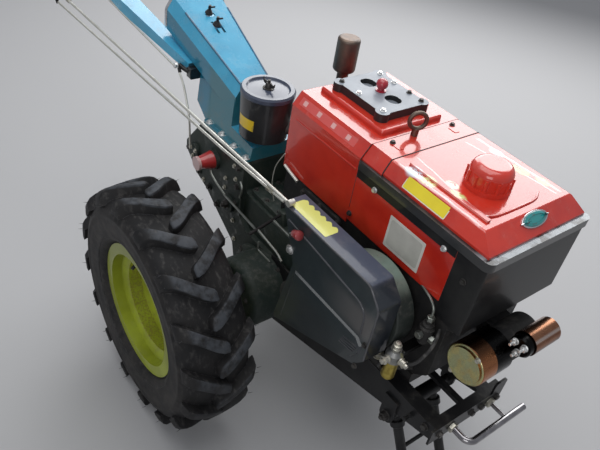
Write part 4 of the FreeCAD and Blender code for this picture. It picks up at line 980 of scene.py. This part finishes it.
water_float = spun("water_float", [(0.0, 0.0), (13.0, 0.0), (13.0, 2.5), (8.0, 3.5), (7.5, 7.0), (11.0, 8.5),
                                   (13.6, 13.0), (14.0, 18.0), (12.6, 23.5), (9.0, 27.5), (4.5, 29.6),
                                   (0.0, 30.0)], 32)
dress(set_down(water_float, spot(124, 107, 892)), RED_BALL)
for side, y in (("right", -51.5), ("left", 265.5)):
    strip = plate(f"panel_strip_{side}", 293, 21, 1.0, 2.0)
    dress(set_down(strip, spot(405, y, 795), (0, y, 0)), COATS["black_paint"])
for y in (19, 195):
    lug_plate = plate("hood_joint", 24, 16, 1.2, 3.0)
    lug_plate.name = lug_plate.data.name = f"bridge_tab_{'right' if y < 100 else 'left'}"
    dress(set_down(lug_plate, spot(289, y, 860)), COATS["red_paint"])

# Guard, knob and air cleaner fittings

knob = spun("stop_knob", [(0.0, 0.0), (7.0, 0.0), (9.0, 3.0), (9.5, 12.0), (11.5, 20.0), (11.0, 26.0), (7.0, 29.0),
                          (0.0, 29.5)], 28)
dress(set_down(knob, spot(243, -190, 664), (0.9, -0.1, 0.42)), KNOB_RED)
bent_rod("stop_lever", [(226, -181, 640), (229, -188, 652), (246, -190, 665)], 3.2, OILY_STEEL)
wing_hub = spun("wing_hub", [(0.0, 0.0), (15.0, 0.0), (15.0, 1.6), (9.0, 2.0), (9.0, 9.0), (6.5, 14.0),
                             (4.0, 14.5), (4.0, 22.0), (0.0, 22.5)], 24)
wings = [wing_hub]
for sign in (1, -1):
    wing = begin("wing", "cube", size=1.0)
    bpy.ops.mesh.select_all(action="SELECT")
    bpy.ops.transform.resize(value=(14 * MM, 3 * MM, 9 * MM))
    bpy.ops.transform.translate(value=(sign * 13 * MM, 0, 11 * MM))
    pick(wing, lambda face: face.normal.x * sign > 0.9)
    bpy.ops.mesh.extrude_region_move(TRANSFORM_OT_translate={"value": (sign * 5 * MM, 0, 7 * MM)})
    bpy.ops.mesh.select_all(action="SELECT")
    bpy.ops.mesh.bevel(offset=1.1 * MM, segments=2)
    leave()
    wings.append(wing)
dress(set_down(join(wings, "cleaner_wing_nut"), spot(-128, -24, 797.5)), DARK_BOLT)

# Fuel filter fittings and lines

banjo = spun("banjo", [(0.0, 0.0), (9.5, 0.0), (9.5, 3.0), (8.0, 4.0), (8.0, 10.0), (9.5, 11.0), (9.5, 13.0),
                       (6.0, 14.0), (6.0, 19.0), (0.0, 20.0)], 20)
many("filter_fittings", banjo, [(spot(546, -145, 540), (0, -1, 0), 0), (spot(565, -127, 540), (1, 0, 0), 0),
                                (spot(546, -127, 559), (0, 0, 1), 0)], ZINC_BOLT)
bpy.data.objects.remove(banjo)
bent_rod("fuel_line_from_tank", [(577, -127, 540), (594, -114, 554), (596, -80, 588), (578, -48, 606)], 4.0, HOSE,
         bend=20)
bent_rod("fuel_line_to_pump", [(546, -157, 540), (540, -163, 520), (520, -120, 470), (540, -70, 452),
                               (560, -60, 470)], 4.0, HOSE, bend=30)

pump = spun("fuel_pump", [(0.0, 0.0), (12.0, 0.0), (12.0, 6.0), (16.0, 8.0), (16.0, 42.0), (13.0, 45.0), (13.0, 52.0),
                          (8.0, 54.0), (8.0, 62.0), (0.0, 64.0)], 28)
dress(set_down(pump, spot(560, -68, 566)), COATS["engine_black"])
pump_nut = hex_head("pump_nut", 15, 10)
many("pump_nuts", pump_nut, [(spot(560, -68, 628), (0, 0, 1), 0), (spot(560, -84, 596), (0, -1, 0), 0),
                             (spot(576, -68, 588), (1, 0, 0), 0)], OILY_STEEL)
bpy.data.objects.remove(pump_nut)
bent_rod("injection_pipe", [(560, -68, 636), (560, -68, 662), (536, -62, 672), (500, -48, 668)], 3.0, OILY_STEEL, bend=12)

# Rods and levers

STEEL = COATS["bright_steel"]
BLACK = COATS["black_paint"]
bent_rod("brake_rod", [(-1040, -229, 692), (-464, -190, 678), (-192, -188, 691), (-60, -187, 696),
                       (191, -187, 714)], 3.6, STEEL, bend=6)
bent_rod("brake_rod_arm", [(-1050, -239, 744), (-1048, -236, 720), (-1040, -229, 688)], 5.0, BLACK)
rod_nut = hex_head("rod_nut", 12, 9)
many("rod_adjusters", rod_nut, [(spot(-930, -229, 735), (-1, 0, 0), 10), (spot(-946, -229, 736), (-1, 0, 0), 40),
                                (spot(150, -187, 711), (-1, 0, -0.07), 20), (spot(136, -187, 710), (-1, 0, -0.07), 0)],
     ZINC_BOLT)
bpy.data.objects.remove(rod_nut)
bent_rod("shift_link_end", [(-232, -110, 515), (-222, -118, 506), (-188, -119, 494), (-130, -122, 486)], 3.4,
         OILY_STEEL, bend=16)
bent_rod("shift_link", [(-140, -122, 486), (-60, -132, 498), (60, -152, 522)], 3.2, OILY_STEEL)
bent_rod("cross_shaft", [(67, -176, 520), (58, -92, 536), (52, -40, 546)], 4.4, BLACK)
bent_rod("upper_link", [(59, -100, 532), (140, -100, 534)], 4.2, OILY_STEEL)
bent_rod("lower_link", [(64, -150, 524), (153, -150, 516), (176, -152, 508)], 3.4, OILY_STEEL)
bent_rod("spring_hook", [(75, -150, 492), (77, -150, 466), (132, -150, 468)], 2.4, OILY_STEEL, bend=8)
bent_rod("cover_hook", [(-102, -98, 546), (-82, -104, 536), (-86, -106, 504), (-100, -98, 500)], 3.0, OILY_STEEL)
bent_rod("drain_pipe", [(24, -60, 669), (52, -60, 662), (80, -60, 656)], 4.0, STEEL)
bent_rod("earth_wire", [(14, -56, 696), (-14, -60, 642), (-20, -58, 581), (-10, -50, 530)], 1.5, STEEL, bend=60)
shaft_block = begin("cross_shaft_block", "cube", size=1.0)
bpy.ops.mesh.select_all(action="SELECT")
bpy.ops.transform.resize(value=(34 * MM, 24 * MM, 46 * MM))
bpy.ops.transform.translate(value=spot(56, -64, 525))
pick(shaft_block, lambda face: face.normal.z > 0.9)
bpy.ops.transform.resize(value=(0.7, 1, 1))
bpy.ops.mesh.select_all(action="SELECT")
bpy.ops.mesh.bevel(offset=3 * MM, segments=2)
leave()
dress(shaft_block, COATS["cast_green"])
shift_cover = plate("shift_cover", 128, 92, 16, 10, 4)
dress(set_down(shift_cover, spot(-22, -26, 508)), COATS["cast_green"])
many("shift_cover_bolts", small_bolt, on_top(525.5, [(-76, -62), (32, -62), (-22, -62), (-76, 10), (32, 10)]),
     DARK_BOLT)

# stubs of the two shift levers in rubber boots on top of the column
SLOPE = (0.32, 0, 0.95)
for name, x, z in (("main_shift_stub", -474, 852), ("range_shift_stub", -429, 837)):
    boot = spun("boot", [(0.0, -1.0), (11.0, -1.0), (11.0, 1.5), (9.5, 3.0), (9.0, 5.0), (7.5, 6.0), (7.0, 9.0),
                         (5.5, 10.0), (5.0, 12.0), (0.0, 12.0)], 28)
    boot.name = boot.data.name = f"{name}_boot"
    dress(set_down(boot, spot(x, 0, z), SLOPE), COATS["grip_rubber"])
    bent_rod(name, [(x + 3, 0, z + 8), (x + 5, 0, z + 24)], 4.0, BLACK)
    bent_rod(f"{name}_pin", [(x + 5, -5, z + 18), (x + 5, 15, z + 18)], 2.6, BLACK)

# lapped fold where the top sheet of the column ends, in a dark blue that paints the shadow along the step
for side, sign in (("right", -1), ("left", 1)):
    bent_rod(f"column_fold_{side}", [(-485, sign * 66.8, 855.4), (-216, sign * 44.6, 764.6)], 2.8, FOLD_SHADOW_BLUE)

# chromed rolled edge round the open end of the column
bent_rod("column_edge", [(-549, 0, 878), (-549, 72, 878), (-549, 92, 846), (-549, 92, 790), (-549, -92, 790),
                         (-549, -92, 846), (-549, -72, 878), (-549, 0, 878)], 4.5, CHROME, bend=9)

# steering clutch levers under the grips, with their clamps and cables
for side, sign in (("right", -1), ("left", 1)):
    bent_rod(f"steering_lever_{side}", [(-1215, sign * 276, 946), (-1250, sign * 284, 934),
                                        (-1330, sign * 294, 944), (-1425, sign * 299, 950)], 5.0, STEEL, bend=30)
    clamp = spun("clamp", [(13.5, -9.0), (19.0, -9.0), (20.0, -8.0), (20.0, 8.0), (19.0, 9.0), (13.5, 9.0),
                           (13.5, -9.0)], 28)
    clamp.name = clamp.data.name = f"lever_clamp_{side}"
    dress(set_down(clamp, spot(-1208, sign * 271.5, 964.0), (-0.985, sign * 0.13, 0.12)), BLACK)
    bent_rod(f"lever_lug_{side}", [(-1208, sign * 272, 950), (-1214, sign * 275, 944)], 8.0, BLACK)
    bent_rod(f"steering_rod_{side}", [(-1216, sign * 275, 940), (-1040, sign * 216, 868), (-890, sign * 168, 806),
                                      (-745, sign * 152, 776), (-450, sign * 114, 720)], 3.0, STEEL, bend=40)
    bent_rod(f"steering_crank_{side}", [(-450, sign * 114, 720), (-436, sign * 112, 732), (-424, sign * 112, 714)],
             5.0, BLACK, bend=4)
    bent_rod(f"crank_bracket_{side}", [(-402, sign * 90, 719), (-420, sign * 104, 726), (-436, sign * 108, 731)],
             6.0, BLACK)
    bent_rod(f"steering_link_{side}", [(-424, sign * 114, 714), (-398, sign * 114, 690), (-360, sign * 114, 610),
                                       (-350, sign * 113, 508)], 3.0, STEEL, bend=30)
    for k in range(7):
        far = k * 17.0
        rib = spun("rib", [(16.6, -3.0), (18.0, -3.0), (18.8, -1.5), (18.8, 1.5), (18.0, 3.0), (16.6, 3.0),
                           (16.6, -3.0)], 24)
        rib.name = rib.data.name = f"grip_rib_{side}_{k + 1}"
        x = -1420 + far
        share = (x + 1180) / (6.0 - 1440 + 1180)
        at = (x, sign * (268 + 32 * share), 960 + 32 * share)
        dress(set_down(rib, spot(*at), (-254, sign * 32, 32)), COATS["grip_rubber"])

many("crank_bolts", bolt, both_sides(116, [(-436, 732)]), SILVER)

# Stand and front bar fittings

for side, y in (("right", -75), ("left", 45)):
    collar = spun("collar", [(12.3, 0.0), (16.5, 0.0), (17.5, 1.0), (17.5, 15.0), (16.5, 16.0), (12.3, 16.0),
                             (12.3, 0.0)], 24)
    collar.name = collar.data.name = f"leg_collar_{side}"
    dress(set_down(collar, spot(565 + 0.5 * 26, y, 335 - 0.866 * 26), (0.5, 0, -0.866)), BLACK, "front_stand")
bent_rod("stand_tie_upper", [(565 + 52, -75, 335 - 90), (565 + 52, 45, 335 - 90)], 5.0, BLACK, "front_stand")
spring_hook = spun("spring_post", [(0.0, 0.0), (6.0, 0.0), (6.0, 3.0), (4.0, 4.0), (4.0, 14.0), (6.0, 15.0),
                                   (6.0, 18.0), (0.0, 18.0)], 16)
dress(set_down(spring_hook, spot(620, -104, 400), (0, -1, 0)), BLACK)
for name, x, y in (("bar_nut_right", 689, -45), ("bar_nut_left", 689, 79)):
    nut = hex_head(name, 22, 8)
    dress(set_down(nut, spot(x, y, 405), (1, 0, 0)), ZINC_BOLT)

# Engine: right side, head and left side

side_cover = plate("cylinder_cover", 150, 120, 7, 14, 2)
dress(set_down(side_cover, spot(170, -49.2, 590), (0, -1, 0)), COATS["engine_black"])
many("cylinder_cover_bolts", small_bolt, on_side(-56.5, [(104, 640), (170, 642), (236, 640), (104, 540),
                                                        (170, 538), (236, 540)]), DARK_BOLT)
gear_cover = plate("gear_cover", 300, 220, 26, 46, 6)
dress(set_down(gear_cover, spot(420, 213, 560), (0, 1, 0)), COATS["engine_black"])
many("gear_cover_bolts", bolt, on_side(239, [(290, 640), (350, 654), (420, 656), (490, 654), (550, 640), (556, 560),
                                            (550, 480), (490, 466), (420, 464), (350, 466), (290, 480),
                                            (284, 560)]), DARK_BOLT)
crank_boss = spun("crank_boss", [(0.0, 0.0), (42.0, 0.0), (42.0, 8.0), (30.0, 14.0), (26.0, 34.0), (22.0, 36.0),
                                 (15.0, 36.0), (15.0, 12.0), (0.0, 12.0)], 36)
dress(set_down(crank_boss, spot(430, 238, 520), (0, 1, 0)), COATS["engine_black"])
oil_cap = spun("oil_filler_cap", [(0.0, 0.0), (22.0, 0.0), (22.0, 12.0), (26.0, 13.0), (26.0, 24.0), (23.0, 26.0),
                                  (0.0, 26.0)], 28)
dress(set_down(oil_cap, spot(540, 200, 470), (0, 0.8, 0.6)), DARK_BOLT)
dipstick = spun("dipstick", [(0.0, 0.0), (8.0, 0.0), (8.0, 6.0), (3.0, 8.0), (3.0, 30.0), (9.0, 32.0), (9.0, 36.0),
                             (0.0, 37.0)], 16)
dress(set_down(dipstick, spot(300, 176, 690), (0, 1, 0.6)), ZINC_BOLT)

for pattern in (bolt, small_bolt, washer_bolt, big_nut, terminal_nut):
    bpy.data.objects.remove(pattern)

# Camera at the angle of the photo

RIGHT, AHEAD = Vector((0.584, 0.799, 0.142)), Vector((-0.574, 0.531, -0.624)).normalized()
RIGHT = (RIGHT - AHEAD * RIGHT.dot(AHEAD)).normalized()
UP = RIGHT.cross(AHEAD)
camera = bpy.data.objects.new("camera", bpy.data.cameras.new("camera"))
bpy.context.scene.collection.objects.link(camera)
turn = Matrix((RIGHT, UP, -AHEAD)).transposed()
camera.matrix_world = Matrix.Translation((1.37583, -0.911, 1.546)) @ turn.to_4x4()
camera.data.lens = 38.33
camera.data.sensor_width = 36.0
bpy.context.scene.camera = camera

# Pale floor and soft lights

FLOOR_COAT = Coat("studio_floor")
FLOOR_COAT.set(Base_Color=(0.44, 0.44, 0.445), Roughness=0.9)
bpy.ops.object.select_all(action="DESELECT")
bpy.ops.mesh.primitive_plane_add(size=16, location=(0, 0, -0.0005))
floor = bpy.context.object
floor.name = "studio_floor"
floor.data.materials.append(FLOOR_COAT.material)
floor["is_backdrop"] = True


def soft_light(name, place, target, size, watts, depth=None):
    lamp = bpy.data.objects.new(name, bpy.data.lights.new(name, "AREA"))
    bpy.context.scene.collection.objects.link(lamp)
    lamp.data.shape = "RECTANGLE"
    lamp.data.size = size
    lamp.data.size_y = depth or size
    lamp.data.energy = watts
    lamp.location = place
    lamp.rotation_euler = (Vector(target) - Vector(place)).to_track_quat("-Z", "Y").to_euler()


soft_light("top_light", (0.2, -0.2, 3.6), (0.2, 0, 0), 3.0, 60)
soft_light("sheen_light", (-1.25, 2.5, 2.3), (0.5, 0, 0.7), 3.8, 100, 2.2)
soft_light("side_light", (2.8, -3.2, 1.8), (0.4, 0, 0.5), 2.0, 30)
world = bpy.data.worlds.new("studio")
bpy.context.scene.world = world
world.use_nodes = True
sky = world.node_tree.nodes["Background"]
sky.inputs["Color"].default_value = (0.9, 0.93, 1.0, 1.0)
sky.inputs["Strength"].default_value = 0.34

bpy.context.scene.view_settings.view_transform = "Standard"
low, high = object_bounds()
